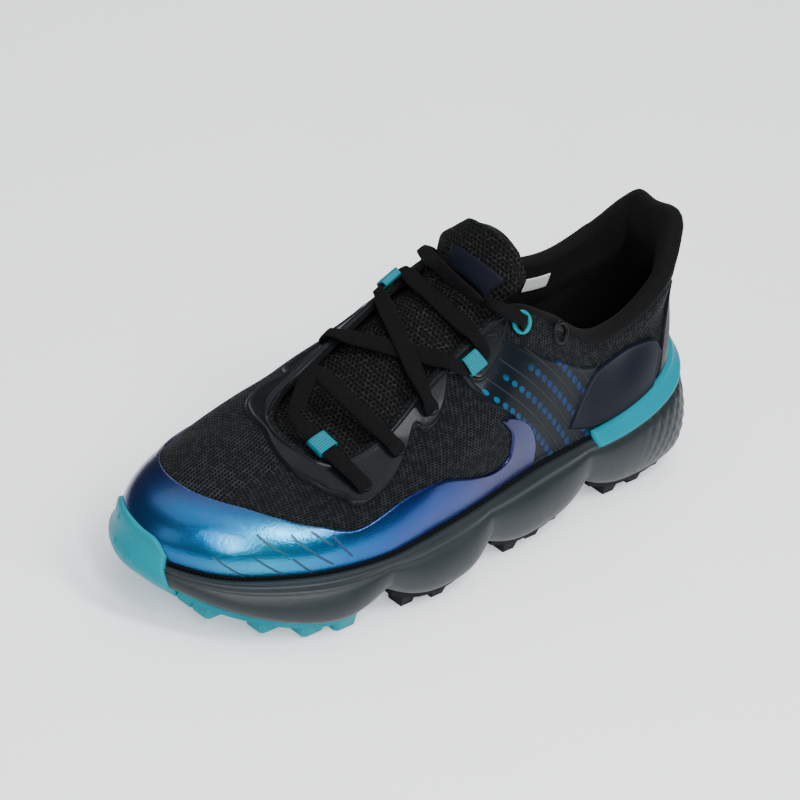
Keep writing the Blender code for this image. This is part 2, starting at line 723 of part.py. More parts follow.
def outsole():
    """Four rubber pods, one under each lobe; the front one carries the toe bumper."""
    dark = material("dark_rubber", (0.02, 0.022, 0.025), 0.7)
    teal = material("teal_rubber", (0.0, 0.45, 0.48), 0.5)
    ends = np.array(VALLEYS) * LENGTH
    side = POD_GAP / 2.0
    pod("outsole_heel", EDGE_ROUND + POD_TOE, ends[0] - side, 3, 4, dark)
    pod("outsole_arch", ends[0] + side, ends[1] - side, 3, 4, dark)
    pod("outsole_ball", ends[1] + side, ends[2] - side, 3, 4, dark)
    front = pod("outsole_forefoot", ends[2] + side, LENGTH - EDGE_ROUND - POD_TOE / 2.0, 4, 5, teal)
    union(front, [bumper(teal)])


def lifted(u, v, lift):
    """One point of the upper's outside, lifted along its normal."""
    near = u + np.array([-0.002, 0.0, 0.002])
    around = skin(near, bite_out(near), v + np.array([-0.02, 0.0, 0.02]))
    return around[1, 1] + skin_normals(around, False)[1, 1] * lift


def tongue_rows(across):
    """Outside of the tongue: one row for each section, sampled at shares from its outer edge (0) to its inner (1)."""
    sink = -(WALL + TONGUE_GAP)
    rows = []
    for place, crown in TONGUE_ROWS:
        edges = [lifted(side_u(side, place), 0.97, sink) for side in ("outer", "inner")]
        flaps = [lifted(side_u(side, place), 0.84, sink) for side in ("outer", "inner")]
        middle = (edges[0] + edges[1]) / 2.0 + np.array([0.0, 0.0, crown * INSTEP_HEIGHT])
        keys = [flaps[0], edges[0], middle, edges[1], flaps[1]]
        rows.append(curve_through([0.0, 0.14, 0.5, 0.86, 1.0], keys, across))
    spread = 2.0 * across - 1.0
    for along, height, middle, half, droop in TONGUE_TOP_ROWS:
        x = UPPER_SETBACK + UPPER_LENGTH * along - TONGUE_CURL * half * BALL_WIDTH * spread**2
        y = (middle - half * spread) * BALL_WIDTH
        z = (height - droop * np.abs(spread) ** 2.4) * INSTEP_HEIGHT
        rows.append(np.stack([x, y, z], axis=1))
    return np.array(rows)


def tongue_surface(steps_along, steps_across):
    """Smooth grid over the tongue's rows, and how far along each of its rows lies, from toe (0) to top (1)."""
    keys = tongue_rows(np.linspace(0.0, 1.0, steps_across))
    share = np.linspace(0.0, 1.0, steps_along)
    return curve_through(np.linspace(0.0, 1.0, len(keys)), keys, share), share


def grid_normals(grid, towards):
    """Unit normals of an open grid, turned to the side that towards lies on."""
    normal = np.cross(np.gradient(grid, axis=0), np.gradient(grid, axis=1))
    normal /= np.linalg.norm(normal, axis=2, keepdims=True)
    return normal * np.sign((normal * towards).sum(axis=2).mean())


def tongue():
    """Padded tongue under the throat, standing up over it."""
    over, share = tongue_surface(20, 9)
    normal = grid_normals(over, TONGUE_FACES)
    depth = TONGUE * (0.5 + 0.6 * smooth(share / 0.8))
    edge = 0.45 + 0.55 * np.sin(np.pi * np.linspace(0.0, 1.0, 9)) ** 0.6
    under = over - normal * (depth[:, None] * edge[None, :])[:, :, None]
    section = np.concatenate([over, under[:, ::-1]], axis=1)
    return put("tongue", weave(section, False, True, caps=True), material("tongue_mesh", (0.014, 0.015, 0.017), 0.8))


def lace_bed():
    """Points and normals of all that the laces lie on: the stay's face round the throat, and the tongue."""
    u = np.linspace(side_u("outer", 0.34), side_u("inner", 0.34), 241)
    stay = skin(u, bite_out(u), np.linspace(0.50, 1.0, 26))
    normal = skin_normals(stay, False)
    face = stay + normal * (OVERLAY + GAP)
    top, _ = tongue_surface(121, 41)
    points = np.concatenate([face.reshape(-1, 3), top.reshape(-1, 3)])
    return points, np.concatenate([normal.reshape(-1, 3), grid_normals(top, TONGUE_FACES).reshape(-1, 3)])


def laid_on(path, bed, clearance):
    """Lifts a path off the bed until each point has its clearance, and gives the bed's normals under it."""
    points, normals = bed
    for smoothing in (0.5, 0.5, 0.5, 0.3, 0.2, 0.1, 0.0, 0.0):
        away = path[:, None] - points[None]
        near = np.argmin((away**2).sum(axis=2), axis=1)
        up = normals[near]
        height = ((path - points[near]) * up).sum(axis=1)
        path = path + up * np.maximum(0.0, clearance - height)[:, None]
        path[1:-1] += smoothing * ((path[:-2] + path[2:]) / 2.0 - path[1:-1])
    for _ in range(4):
        up[1:-1] = (up[:-2] + 2.0 * up[1:-1] + up[2:]) / 4.0
    return path, up / np.linalg.norm(up, axis=1, keepdims=True)


def tie_point(side, row):
    """Where a span meets the stay, as u and v: at its eyelet, or at an end of the webbing loop."""
    rows = np.arange(len(EYELET_ROWS))
    columns = np.array(EYELET_ROWS)
    looped = abs(row - LOOP_ROW - 0.25) < 0.3
    at = LOOP_ROW if looped else row
    slopes = (columns[1] - columns[0]) * min(at, 0.0)
    place, up_outer, up_inner = [np.interp(at, rows, columns[:, c]) + slopes[c] for c in range(3)]
    u = side_u(side, place)
    if looped:
        half = LACE_TURN / 2.0 * (1.0 if row > LOOP_ROW else -1.0)
        step = 0.01
        reach = np.linalg.norm(lifted(u + step, 0.9, 0.0) - lifted(u, 0.9, 0.0)) / step
        u += half / reach * (1.0 if side == "inner" else -1.0)
    return u, up_outer if side == "outer" else up_inner


def ribbon(name, path, up, made, collection):
    """A flat lace along a path, its face turned up at each point."""
    along = np.gradient(path, axis=0)
    along /= np.linalg.norm(along, axis=1, keepdims=True)
    side = np.cross(along, up)
    side /= np.linalg.norm(side, axis=1, keepdims=True)
    half = side * LACE_WIDTH / 2.0
    rise = np.cross(side, along) * LACE_THICK / 2.0
    corners = [half, half * 0.8 + rise, -half * 0.8 + rise, -half, -half * 0.8 - rise, half * 0.8 - rise]
    section = np.stack([path + corner for corner in corners], axis=1)
    return put(name, weave(section, False, True, caps=True), made, collection)


def end_lift(row):
    """How much higher than on the bare stay a span ends: over a ring, or inside a webbing loop."""
    if row > LOOP_ROW + 0.5:
        return 2.0 * RING_WIRE + GAP - OVERLAY
    return WEBBING + GAP if row >= LOOP_ROW else 0.0


def span(outer_row, inner_row, lift, bed):
    """Middle line of one lace span: off the stay, over the throat's edges and across the tongue."""
    seat = LACE_THICK / 2.0 + LACE_GAP
    ends = []
    for side, row in (("outer", outer_row), ("inner", inner_row)):
        u, v = tie_point(side, row)
        ends.append([lifted(u, v, OVERLAY + GAP + seat), lifted(u, 0.99, OVERLAY + GAP + seat)])
    middle = (ends[0][1] + ends[1][1]) / 2.0
    keys = [ends[0][0], ends[0][1], middle, ends[1][1], ends[1][0]]
    share = np.linspace(0.0, 1.0, 13)
    path = curve_through([0.0, 0.16, 0.5, 0.84, 1.0], keys, share)
    ends_lift = end_lift(outer_row) * (1.0 - share) ** 3 + end_lift(inner_row) * share**3
    return laid_on(path, bed, seat + ends_lift + LACE_CROSSING * lift * np.sin(np.pi * share) ** 2)


def laces(bed):
    """Flat lace spans over the tongue. The ones that share eyelets or cross are joined."""
    made = material("lace", (0.012, 0.012, 0.014), 0.8)
    nodes = {}
    for name, outer_row, inner_row, lift in LACE_ROWS:
        path, up = span(outer_row, inner_row, lift, bed)
        kind = "trail_shoe" if name not in nodes else "cutters"
        nodes.setdefault(name, []).append(ribbon(name, path, up, made, kind))
    for side in ("outer", "inner"):
        path, up = turn(side, bed)
        nodes["lace_middle"].append(ribbon("turn", path, up, made, "cutters"))
    for pieces in nodes.values():
        if len(pieces) > 1:
            union(pieces[0], pieces[1:])


def turn(side, bed):
    """Middle line of the lace's short run through a webbing loop, level with the throat's edge."""
    front, v = tie_point(side, LOOP_ROW)
    back, _ = tie_point(side, LOOP_ROW + 0.5)
    seat = LACE_GAP + WEBBING + GAP + LACE_THICK / 2.0
    path = np.array([lifted(u, v, OVERLAY + GAP + seat) for u in np.linspace(front, back, 5)])
    return laid_on(path, bed, seat)


def loop(name, path, up, made):
    """A webbing loop round a stretch of lace: a flat oval band with the lace's opening through it."""
    along = np.gradient(path, axis=0)
    along /= np.linalg.norm(along, axis=1, keepdims=True)
    side = np.cross(along, up)
    side /= np.linalg.norm(side, axis=1, keepdims=True)
    rise = np.cross(side, along)
    turns = np.linspace(0.0, 2.0 * np.pi, 15)[:-1]
    rings = []
    for grow in (GAP, GAP + WEBBING):
        half = (LACE_WIDTH / 2.0 + grow) * np.sign(np.cos(turns)) * np.abs(np.cos(turns)) ** 0.4
        high = (LACE_THICK / 2.0 + grow) * np.sign(np.sin(turns)) * np.abs(np.sin(turns)) ** 0.4
        rings.append(path[:, None] + side[:, None] * half[None, :, None] + rise[:, None] * high[None, :, None])
    section = np.concatenate([rings[1], rings[0][::-1]], axis=0)
    return put(name, weave(section.transpose(1, 0, 2), True, True), made)


def webbing(bed):
    """Teal webbing loops: one on each side that the lace turns in, and a keeper on the front bar."""
    made = material("teal_webbing", (0.0, 0.45, 0.50), 0.6)
    for side in ("outer", "inner"):
        path, up = turn(side, bed)
        held = WEBBING_WIDTH / LACE_TURN
        loop(f"loop_{side}", path[2] + (path[[0, 2, 4]] - path[2]) * held, up[[0, 2, 4]], made)
    path, up = span(*LACE_ROWS[0][1:], bed)
    loop("loop_front", path[6:9], up[6:9], made)


def rings():
    """Eyelet rings pressed into the collar's corners: a teal one and a black one on each side."""
    for name, row, colour in (("ring_teal", 4, (0.0, 0.45, 0.48)), ("ring_black", 5, (0.015, 0.015, 0.017))):
        made = material(name, colour, 0.4)
        place, up_outer, up_inner = EYELET_ROWS[row]
        for side, v in (("outer", up_outer), ("inner", up_inner)):
            u = side_u(side, place)
            centre = Vector(lifted(u, v, GAP + RING_WIRE))
            normal = Vector(lifted(u, v, 1.0)) - Vector(lifted(u, v, 0.0))
            bpy.ops.mesh.primitive_torus_add(
                location=centre,
                rotation=normal.to_track_quat("Z", "Y").to_euler(),
                major_segments=12,
                minor_segments=5,
                major_radius=RING_RADIUS,
                minor_radius=RING_WIRE,
            )
            ring = bpy.context.object
            ring.name = f"{name}_{side}"
            ring.data.materials.append(made)
            ring.data.shade_smooth()
            for home in list(ring.users_collection):
                home.objects.unlink(ring)
            bpy.data.collections["trail_shoe"].objects.link(ring)


def centre():
    """Moves every piece so that the origin lies on the floor under the middle of the shoe's box."""
    bpy.context.view_layer.update()
    pieces = list(bpy.data.collections["trail_shoe"].objects)
    corners = np.array([piece.matrix_world @ Vector(corner) for piece in pieces for corner in piece.bound_box])
    middle = (corners.min(axis=0) + corners.max(axis=0)) / 2.0
    for piece in pieces:
        piece.location -= Vector((middle[0], middle[1], 0.0))


def build():
    """Clears the scene and makes every piece."""
    for old in list(bpy.data.objects):
        bpy.data.objects.remove(old, do_unlink=True)
    for name in ("trail_shoe", "cutters"):
        bpy.context.scene.collection.children.link(bpy.data.collections.new(name))
    midsole()
    upper()
    toe_guard()
    eyestay()
    heel_clip()
    insole()
    outsole()
    tongue()
    bed = lace_bed()
    laces(bed)
    webbing(bed)
    rings()
    centre()


build()
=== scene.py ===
# %% [markdown]
# # A trail running shoe, dressed
#
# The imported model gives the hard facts: where each piece of the shoe lies and how large it is. This
# notebook puts a finer surface over each of those pieces, from the same outlines and sections, and gives it
# the finish that the real one shows. Everything is in metres, +X points to the toe and +Y to the outer side
# of this left shoe.

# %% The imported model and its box
import bmesh
import bpy
import numpy as np
from mathutils import Matrix, Vector


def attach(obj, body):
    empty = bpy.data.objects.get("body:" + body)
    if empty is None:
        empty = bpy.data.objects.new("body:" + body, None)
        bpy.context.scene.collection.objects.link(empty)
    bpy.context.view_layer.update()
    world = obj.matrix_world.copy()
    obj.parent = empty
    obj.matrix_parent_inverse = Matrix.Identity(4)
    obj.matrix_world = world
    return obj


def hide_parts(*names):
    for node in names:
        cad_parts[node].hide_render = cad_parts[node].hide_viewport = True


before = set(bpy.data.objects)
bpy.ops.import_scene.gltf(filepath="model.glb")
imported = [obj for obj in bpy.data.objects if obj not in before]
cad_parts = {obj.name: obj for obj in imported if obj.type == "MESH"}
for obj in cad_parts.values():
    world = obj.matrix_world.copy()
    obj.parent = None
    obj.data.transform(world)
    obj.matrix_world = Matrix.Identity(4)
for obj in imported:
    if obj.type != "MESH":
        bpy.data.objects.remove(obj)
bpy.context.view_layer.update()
print("nodes:", ", ".join(sorted(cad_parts)))

# %% [markdown]
# ## The camera
#
# The picture was taken with a long lens from above the outer side, a little past the toe, and held slightly
# turned. A long lens far away keeps parallel edges nearly parallel. The camera's three axes are worked out
# from azimuth, elevation and roll, so that a change of one of them doesn't disturb the others.

# %% Camera at the picture's angle
AZIMUTH, ELEVATION, ROLL = np.radians([40.115, 32.375, 10.232])
AIM = np.array([-0.004553, -0.013215, 0.048986])
DISTANCE = 2.786556
LENS_MM = 300.456

back = np.array([np.cos(AZIMUTH) * np.cos(ELEVATION), np.sin(AZIMUTH) * np.cos(ELEVATION), np.sin(ELEVATION)])
level = np.array([-np.sin(AZIMUTH), np.cos(AZIMUTH), 0.0])
upright = np.cross(level, -back)
right_way = level * np.cos(ROLL) + upright * np.sin(ROLL)
up_way = upright * np.cos(ROLL) - level * np.sin(ROLL)
camera = bpy.data.objects.new("camera", bpy.data.cameras.new("camera"))
camera.data.lens = LENS_MM
camera.data.sensor_width = 36.0
camera.data.clip_end = 20.0
camera.matrix_world = Matrix(np.column_stack([right_way, up_way, back]).tolist()).to_4x4()
camera.matrix_world.translation = Vector(AIM + back * DISTANCE)
bpy.context.scene.collection.objects.link(camera)
bpy.context.scene.camera = camera
print("camera at", [round(x, 3) for x in camera.matrix_world.translation])

# %% [markdown]
# ## Floor and light
#
# Dark, glossy goods are drawn by what they reflect, so the light is a few large soft boxes rather than
# small lamps. One hangs over the outer side of the toe and draws the long bright streaks on the guard, one
# stands in front, and one behind lifts the collar off its own shadow.

# %% Plain floor and soft boxes
def soft_box(name, azimuth, elevation, far, size, power, aim=(0.0, 0.0, 0.04)):
    """A rectangular lamp at these angles round the shoe, facing the point it aims at."""
    a, e = np.radians([azimuth, elevation])
    lamp = bpy.data.lights.new(name, "AREA")
    lamp.shape = "RECTANGLE"
    lamp.size, lamp.size_y = size
    lamp.energy = power
    made = bpy.data.objects.new(name, lamp)
    made.location = Vector((np.cos(a) * np.cos(e), np.sin(a) * np.cos(e), np.sin(e))) * far + Vector(aim)
    made.rotation_euler = (made.location - Vector(aim)).to_track_quat("Z", "Y").to_euler()
    bpy.context.scene.collection.objects.link(made)


soft_box("shoulder_strip", 107.0, 57.0, 1.1, (0.18, 0.60), 10.0, (0.08, 0.02, 0.04))
soft_box("toe_strip", 57.0, 46.0, 1.1, (0.14, 0.80), 9.0, (0.10, 0.02, 0.03))
soft_box("front", 8.0, 30.0, 1.5, (0.50, 0.90), 2.5)
soft_box("overhead", 250.0, 78.0, 1.6, (1.4, 1.4), 13.0)
soft_box("behind", 215.0, 35.0, 1.4, (0.8, 0.3), 4.0)
sky = bpy.data.worlds.new("studio")
sky.use_nodes = True
sky.node_tree.nodes["Background"].inputs["Color"].default_value = (0.93, 0.96, 1.0, 1.0)
sky.node_tree.nodes["Background"].inputs["Strength"].default_value = 0.25
bpy.context.scene.world = sky

# %% [markdown]
# ## Finishes as sums
#
# A finish is a small calculation that runs for every point of a surface. Blender draws it as boxes and
# wires, but it reads better as a formula, so one class wraps a wire and lets it be added and multiplied as
# a number is. Where the formula needs a richer node, such as noise, one method adds it.

# %% Wires that take part in sums
class Wire:
    """One output of a finish's node, which can be added, multiplied and compared as a number can."""

    def __init__(self, finish, socket):
        self.finish = finish
        self.socket = socket

    def math(self, operation, *values):
        """One Math node on these values."""
        return self.finish.node("ShaderNodeMath", {"operation": operation}, dict(enumerate(values)))

    def __add__(self, other):
        return self.math("ADD", self, other)

    def __sub__(self, other):
        return self.math("SUBTRACT", self, other)

    def __rsub__(self, other):
        return self.math("SUBTRACT", other, self)

    def __mul__(self, other):
        return self.math("MULTIPLY", self, other)

    def __truediv__(self, other):
        return self.math("DIVIDE", self, other)

    __radd__ = __add__
    __rmul__ = __mul__

    def call(self, operation):
        """Sine, fraction, absolute value and other Math operations on this wire alone."""
        return self.math(operation.upper(), self)

    def larger(self, other):
        """The larger of the two at each point."""
        return self.math("MAXIMUM", self, other)

    def step(self, low, high):
        """0 at low and 1 at high, softly between."""
        soft = {"interpolation_type": "SMOOTHSTEP"}
        return self.finish.node("ShaderNodeMapRange", soft, {0: self, 1: low, 2: high})


class Finish:
    """A material with one Principled surface. Numbers that are the same all over are set when it is made."""

    def __init__(self, name, **numbers):
        self.material = bpy.data.materials.new(name)
        self.material.use_nodes = True
        self.tree = self.material.node_tree
        self.shader = self.tree.nodes["Principled BSDF"]
        for slot, value in numbers.items():
            self.shader.inputs[slot.replace("_", " ").title().replace("Ior", "IOR")].default_value = value

    def fill(self, socket, value):
        """Links a wire to a socket, or writes a number or colour on it."""
        if isinstance(value, Wire):
            self.tree.links.new(value.socket, socket)
        elif socket.type == "RGBA" and len(value) == 3:
            socket.default_value = (*value, 1.0)
        else:
            socket.default_value = value

    def node(self, kind, settings, sockets, output=0):
        """Adds a node of a kind, with its settings first, then its sockets, and gives one of its outputs."""
        made = self.tree.nodes.new(kind)
        for key, value in settings.items():
            setattr(made, key, value)
        for slot, value in sockets.items():
            self.fill(made.inputs[slot], value)
        return Wire(self, made.outputs[output])

    def cloth_place(self):
        """The two lengths along the surface, in metres, that the piece's own map carries."""
        place = self.node("ShaderNodeUVMap", {"uv_map": "lengths"}, {})
        return [self.node("ShaderNodeSeparateXYZ", {}, {0: place}, k) for k in (0, 1)] + [place]

    def field(self, name):
        """A number that the piece keeps at each of its points."""
        return self.node("ShaderNodeAttribute", {"attribute_name": name}, {}, 2)

    def holes(self, x, y, wide, tall):
        """1 in round holes laid like bricks: squared distance from a cell's middle, in shares of the cell."""
        row = (y / tall).call("floor")
        across = (x / wide + row * 0.5).call("fract") - 0.5
        up = (y / tall).call("fract") - 0.5
        return (across * across + up * up).step(0.150, 0.075)

    def noise(self, scale, detail=2.0, place=None):
        """Cloudy noise, 0 to 1, with this many clouds in a metre."""
        place = place or self.node("ShaderNodeTexCoord", {}, {}, 3)
        return self.node("ShaderNodeTexNoise", {}, {"Vector": place, "Scale": scale, "Detail": detail})

    def blend(self, share, first, second):
        """First colour where share is 0, second where it is 1."""
        return self.node("ShaderNodeMix", {"data_type": "RGBA"}, {0: share, 6: first, 7: second}, 2)

    def show(self, colour=None, roughness=None, height=None, depth=0.0005, metallic=None):
        """Connects what changes over the surface. Height, 0 to 1, raises it by up to depth metres."""
        for slot, value in (("Base Color", colour), ("Roughness", roughness), ("Metallic", metallic)):
            if value is not None:
                self.fill(self.shader.inputs[slot], value)
        if height is not None:
            bump = self.node("ShaderNodeBump", {}, {"Height": height, "Distance": depth, "Strength": 1.0})
            self.fill(self.shader.inputs["Normal"], bump)
        return self.material


def wave(wire, period):
    """0 to 1 and back once in each period."""
    return (wire * (2.0 * np.pi / period)).call("sine") * 0.5 + 0.5


pale = Finish("floor_paint", roughness=0.7, emission_color=(0.9, 0.95, 1.0, 1.0), emission_strength=0.5)
cloud = pale.noise(3.0)
floor_finish = pale.show(pale.blend(cloud * 0.05, (0.90, 0.91, 0.92), (0.86, 0.87, 0.88)))
bpy.ops.mesh.primitive_grid_add(x_subdivisions=4, y_subdivisions=4, size=9.0)
floor = bpy.context.object
floor.name = "floor"
floor.data.materials.append(floor_finish)
print("floor", floor.dimensions[:2])

# %% [markdown]
# ## The shoe's own sizes
#
# A shoe is drafted from a few lengths and from sections along its last. Each table below has a row for a
# section from heel (0) to toe (1), and holds shares of the overall sizes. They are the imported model's own
# sections.

# %% Overall sizes
LENGTH = 0.2930
BALL_WIDTH = 0.118
HEEL_WIDTH = 0.090
UPPER_LENGTH = 0.2845
UPPER_SETBACK = 0.0065
BITE_HEIGHT = 0.030
HEEL_HEIGHT = 0.1055
INSTEP_HEIGHT = 0.104
TOE_SPRING = 0.012
SPRING_START = 0.76
LUG_HEIGHT = 0.0045
PLATE = 0.0025
VALLEY_DEPTH = 0.007
VALLEY_RISE = 0.0055
VALLEYS = (0.260, 0.493, 0.705)
EDGE_ROUND = 0.005
BULGE = 0.003
RIM = 0.0032
WALL = 0.0024
COLLAR_PAD = 0.0080
TUCK = 0.0030
GAP = 0.0003
MIDDLE = np.array([0.14848678, 0.00491421, 0.0])

# %% Sections of sole and upper
SOLE_ROWS = (
    # place, outer, inner
    (0.000, 0.050, 0.050),
    (0.012, 0.310, -0.170),
    (0.050, 0.465, -0.335),
    (0.100, 0.520, -0.411),
    (0.180, 0.550, -0.444),
    (0.270, 0.562, -0.448),
    (0.375, 0.570, -0.435),
    (0.483, 0.552, -0.428),
    (0.600, 0.548, -0.445),
    (0.700, 0.530, -0.468),
    (0.800, 0.515, -0.450),
    (0.880, 0.430, -0.395),
    (0.940, 0.310, -0.286),
    (0.980, 0.160, -0.172),
    (1.000, -0.038, -0.038),
)
BITE_ROWS = (
    # place, outer, inner, height, bed
    (0.000, 0.022, 0.022, 1.60, 0.90),
    (0.012, 0.190, -0.140, 1.54, 0.90),
    (0.050, 0.315, -0.260, 1.38, 0.89),
    (0.100, 0.380, -0.320, 1.26, 0.88),
    (0.180, 0.425, -0.355, 1.16, 0.87),
    (0.270, 0.440, -0.365, 1.11, 0.86),
    (0.375, 0.436, -0.360, 1.08, 0.83),
    (0.483, 0.434, -0.355, 1.04, 0.78),
    (0.600, 0.430, -0.368, 0.99, 0.71),
    (0.700, 0.436, -0.394, 0.95, 0.67),
    (0.800, 0.390, -0.386, 0.92, 0.67),
    (0.880, 0.305, -0.340, 0.90, 0.69),
    (0.940, 0.210, -0.266, 0.90, 0.73),
    (0.980, 0.090, -0.190, 0.93, 0.77),
    (1.000, -0.060, -0.060, 0.96, 0.80),
)
RIM_ROWS = (
    # side, place, along, across, height, rise, lean, fall, slope
    ("outer", 0.000, 0.004, -0.010, 0.988, 0.36, 8, 0.34, 112),
    ("outer", 0.050, 0.022, 0.205, 0.972, 0.36, 8, 0.34, 108),
    ("outer", 0.100, 0.070, 0.300, 0.850, 0.36, 5, 0.34, 100),
    ("outer", 0.180, 0.152, 0.335, 0.735, 0.36, 2, 0.34, 92),
    ("outer", 0.270, 0.237, 0.340, 0.735, 0.36, 0, 0.34, 84),
    ("outer", 0.375, 0.318, 0.280, 0.890, 0.36, 0, 0.32, 66),
    ("outer", 0.483, 0.396, 0.202, 1.000, 0.34, 0, 0.30, 56),
    ("outer", 0.600, 0.482, 0.168, 0.885, 0.34, 2, 0.30, 52),
    ("outer", 0.700, 0.563, 0.172, 0.750, 0.34, 4, 0.30, 46),
    ("outer", 0.800, 0.642, 0.198, 0.630, 0.34, 6, 0.32, 38),
    ("outer", 0.880, 0.704, 0.175, 0.560, 0.34, 8, 0.36, 28),
    ("outer", 0.940, 0.732, 0.115, 0.552, 0.32, 8, 0.40, 20),
    ("outer", 0.980, 0.742, 0.040, 0.565, 0.32, 8, 0.42, 17),
    ("tip", 1.000, 0.743, -0.025, 0.572, 0.33, 11, 0.42, 16),
    ("inner", 0.980, 0.740, -0.085, 0.580, 0.36, 14, 0.42, 17),
    ("inner", 0.940, 0.728, -0.140, 0.590, 0.36, 13, 0.40, 20),
    ("inner", 0.880, 0.698, -0.185, 0.620, 0.34, 8, 0.36, 28),
    ("inner", 0.800, 0.640, -0.205, 0.680, 0.36, 7, 0.32, 36),
    ("inner", 0.700, 0.563, -0.214, 0.790, 0.38, 6, 0.30, 44),
    ("inner", 0.600, 0.482, -0.220, 0.900, 0.38, 4, 0.30, 52),
    ("inner", 0.483, 0.396, -0.228, 1.000, 0.36, 2, 0.30, 58),
    ("inner", 0.375, 0.318, -0.262, 0.935, 0.36, 0, 0.32, 68),
    ("inner", 0.270, 0.237, -0.285, 0.815, 0.36, 0, 0.34, 84),
    ("inner", 0.180, 0.152, -0.275, 0.775, 0.36, 0, 0.34, 92),
    ("inner", 0.100, 0.070, -0.248, 0.840, 0.36, 3, 0.34, 100),
    ("inner", 0.050, 0.022, -0.182, 0.952, 0.36, 6, 0.34, 108),
)
print(len(SOLE_ROWS), "sections of the sole,", len(RIM_ROWS), "ribs of the upper")

# %% [markdown]
# ## Curves through the sections
#
# Between two sections the surface has to run smoothly, so each column of a table is read through a cubic
# curve. One number, u, runs once round the shoe: 0 at the heel, along the outer side to 0.5 at the toe, and
# back along the inner side. A place from heel to toe is turned into u by a cosine, which rounds both ends
# off.

# %% Curve tools
def smooth(t):
    """Soft step: t squared times (3 - 2t), held at 0 and 1 outside."""
    t = np.clip(t, 0.0, 1.0)
    return t * t * (3.0 - 2.0 * t)


def hump(t, middle, spread):
    """Bell: e to the power of minus the square of the distance from the middle over the spread."""
    return np.exp(-(((t - middle) / spread) ** 2))


def unit(vectors):
    """Each vector divided by its length."""
    return vectors / np.linalg.norm(vectors, axis=-1, keepdims=True)


def fuller(values, power):
    """Sign times a power of the size below 1, which fills out the corners of a circle."""
    return np.sign(values) * np.abs(values) ** power


def curve_through(keys, values, at):
    """Cubic Hermite curve through the values at rising keys, each slope taken from the two neighbours."""
    keys = np.asarray(keys, float)
    values = np.asarray(values, float)
    slopes = np.gradient(values, keys, axis=0)
    at = np.asarray(at, float)
    k = np.clip(np.searchsorted(keys, at, side="right") - 1, 0, len(keys) - 2)
    each = at.shape + (1,) * (values.ndim - 1)
    span = (keys[k + 1] - keys[k]).reshape(each)
    t = (at - keys[k]).reshape(each) / span
    t2, t3 = t * t, t * t * t
    start = (2 * t3 - 3 * t2 + 1) * values[k] + (t3 - 2 * t2 + t) * span * slopes[k]
    return start + (3 * t2 - 2 * t3) * values[k + 1] + (t3 - t2) * span * slopes[k + 1]


def angle_of(place):
    """Share of the half turn that gives this place: arc cosine of (1 - 2 place), over pi."""
    return np.arccos(1.0 - 2.0 * np.clip(np.asarray(place, float), 0.0, 1.0)) / np.pi


def place_of(u):
    """Half of (1 - cosine) of the half turn walked from the heel."""
    u = np.mod(u, 1.0)
    return (1.0 - np.cos(2.0 * np.pi * np.minimum(u, 1.0 - u))) / 2.0


def side_u(side, place):
    """u at a place on one side: half the angle's share, counted back from 1 on the inner side."""
    half = angle_of(place) / 2.0
    return 1.0 - half if side == "inner" else half


def round_trip(u_keys, values, u):
    """Closed curve over u: three keys of each end are repeated on the other side."""
    order = np.argsort(u_keys)
    keys = np.asarray(u_keys, float)[order]
    values = np.asarray(values, float)[order]
    keys = np.concatenate([keys[-3:] - 1.0, keys, keys[:3] + 1.0])
    values = np.concatenate([values[-3:], values, values[:3]])
    return curve_through(keys, values, np.mod(u, 1.0))


def both_sides(rows, outer, inner, u):
    """Closed curve from a table with a column for each side."""
    halves = angle_of([row[0] for row in rows]) / 2.0
    keys = np.concatenate([halves, 1.0 - halves[1:-1]])
    values = np.concatenate([[row[outer] for row in rows], [row[inner] for row in rows[1:-1]]])
    return round_trip(keys, values, u)


def edge_curve(rows, u):
    """Reads a table of (side, place, value) at any u between its ends."""
    keys = [side_u(row[0], row[1]) for row in rows]
    return curve_through(keys, [row[2] for row in rows], u)


# %% Outline of the sole and line of the upper's foot
def width_at(place):
    """Width of the sole: the heel's, growing by a soft step to the ball's."""
    return HEEL_WIDTH + (BALL_WIDTH - HEEL_WIDTH) * smooth((place - 0.25) / 0.40)


def level_normals(line, u, step=0.001):
    """Outward level normals of a closed line: its direction turned by a quarter."""
    along = line(u + step) - line(u - step)
    return unit(np.stack([-along[..., 1], along[..., 0], np.zeros(along.shape[:-1])], axis=-1))


def sole_line(u):
    """The sole's widest line: length times place, and the section's share of the width there."""
    place = place_of(u)
    across = both_sides(SOLE_ROWS, 1, 2, u) * width_at(place)
    return np.stack([LENGTH * place, across, np.zeros_like(across)], axis=-1)


def bite_line(u):
    """The line where the upper meets the sole, with its height."""
    place = place_of(u)
    across = both_sides(BITE_ROWS, 1, 2, u) * width_at(place)
    height = both_sides(BITE_ROWS, 3, 3, u) * BITE_HEIGHT
    return np.stack([UPPER_SETBACK + UPPER_LENGTH * place, across, height], axis=-1)


def bed_height(u):
    """Height of the foam cup's floor, a share of the bite line's height."""
    return both_sides(BITE_ROWS, 4, 4, u) * BITE_HEIGHT


def round_u(count):
    """Samples round the shoe, evenly spaced along the sole's edge on each side."""
    fine = np.linspace(0.0, 0.5, 2001)
    runs = []
    for sign in (1.0, -1.0):
        steps = np.linalg.norm(np.diff(sole_line(np.mod(sign * fine, 1.0)), axis=0), axis=1)
        run = np.concatenate([[0.0], np.cumsum(steps)])
        runs.append(run / run[-1])
    half = np.interp(np.linspace(0.0, 1.0, count // 2 + 1), (runs[0] + runs[1]) / 2.0, fine)
    return np.concatenate([half, 1.0 - half[-2:0:-1]])


FINE_U = np.linspace(-0.2, 1.2, 2801)
FINE_RUN = np.concatenate([[0.0], np.cumsum(np.linalg.norm(np.diff(bite_line(FINE_U), axis=0), axis=1))])


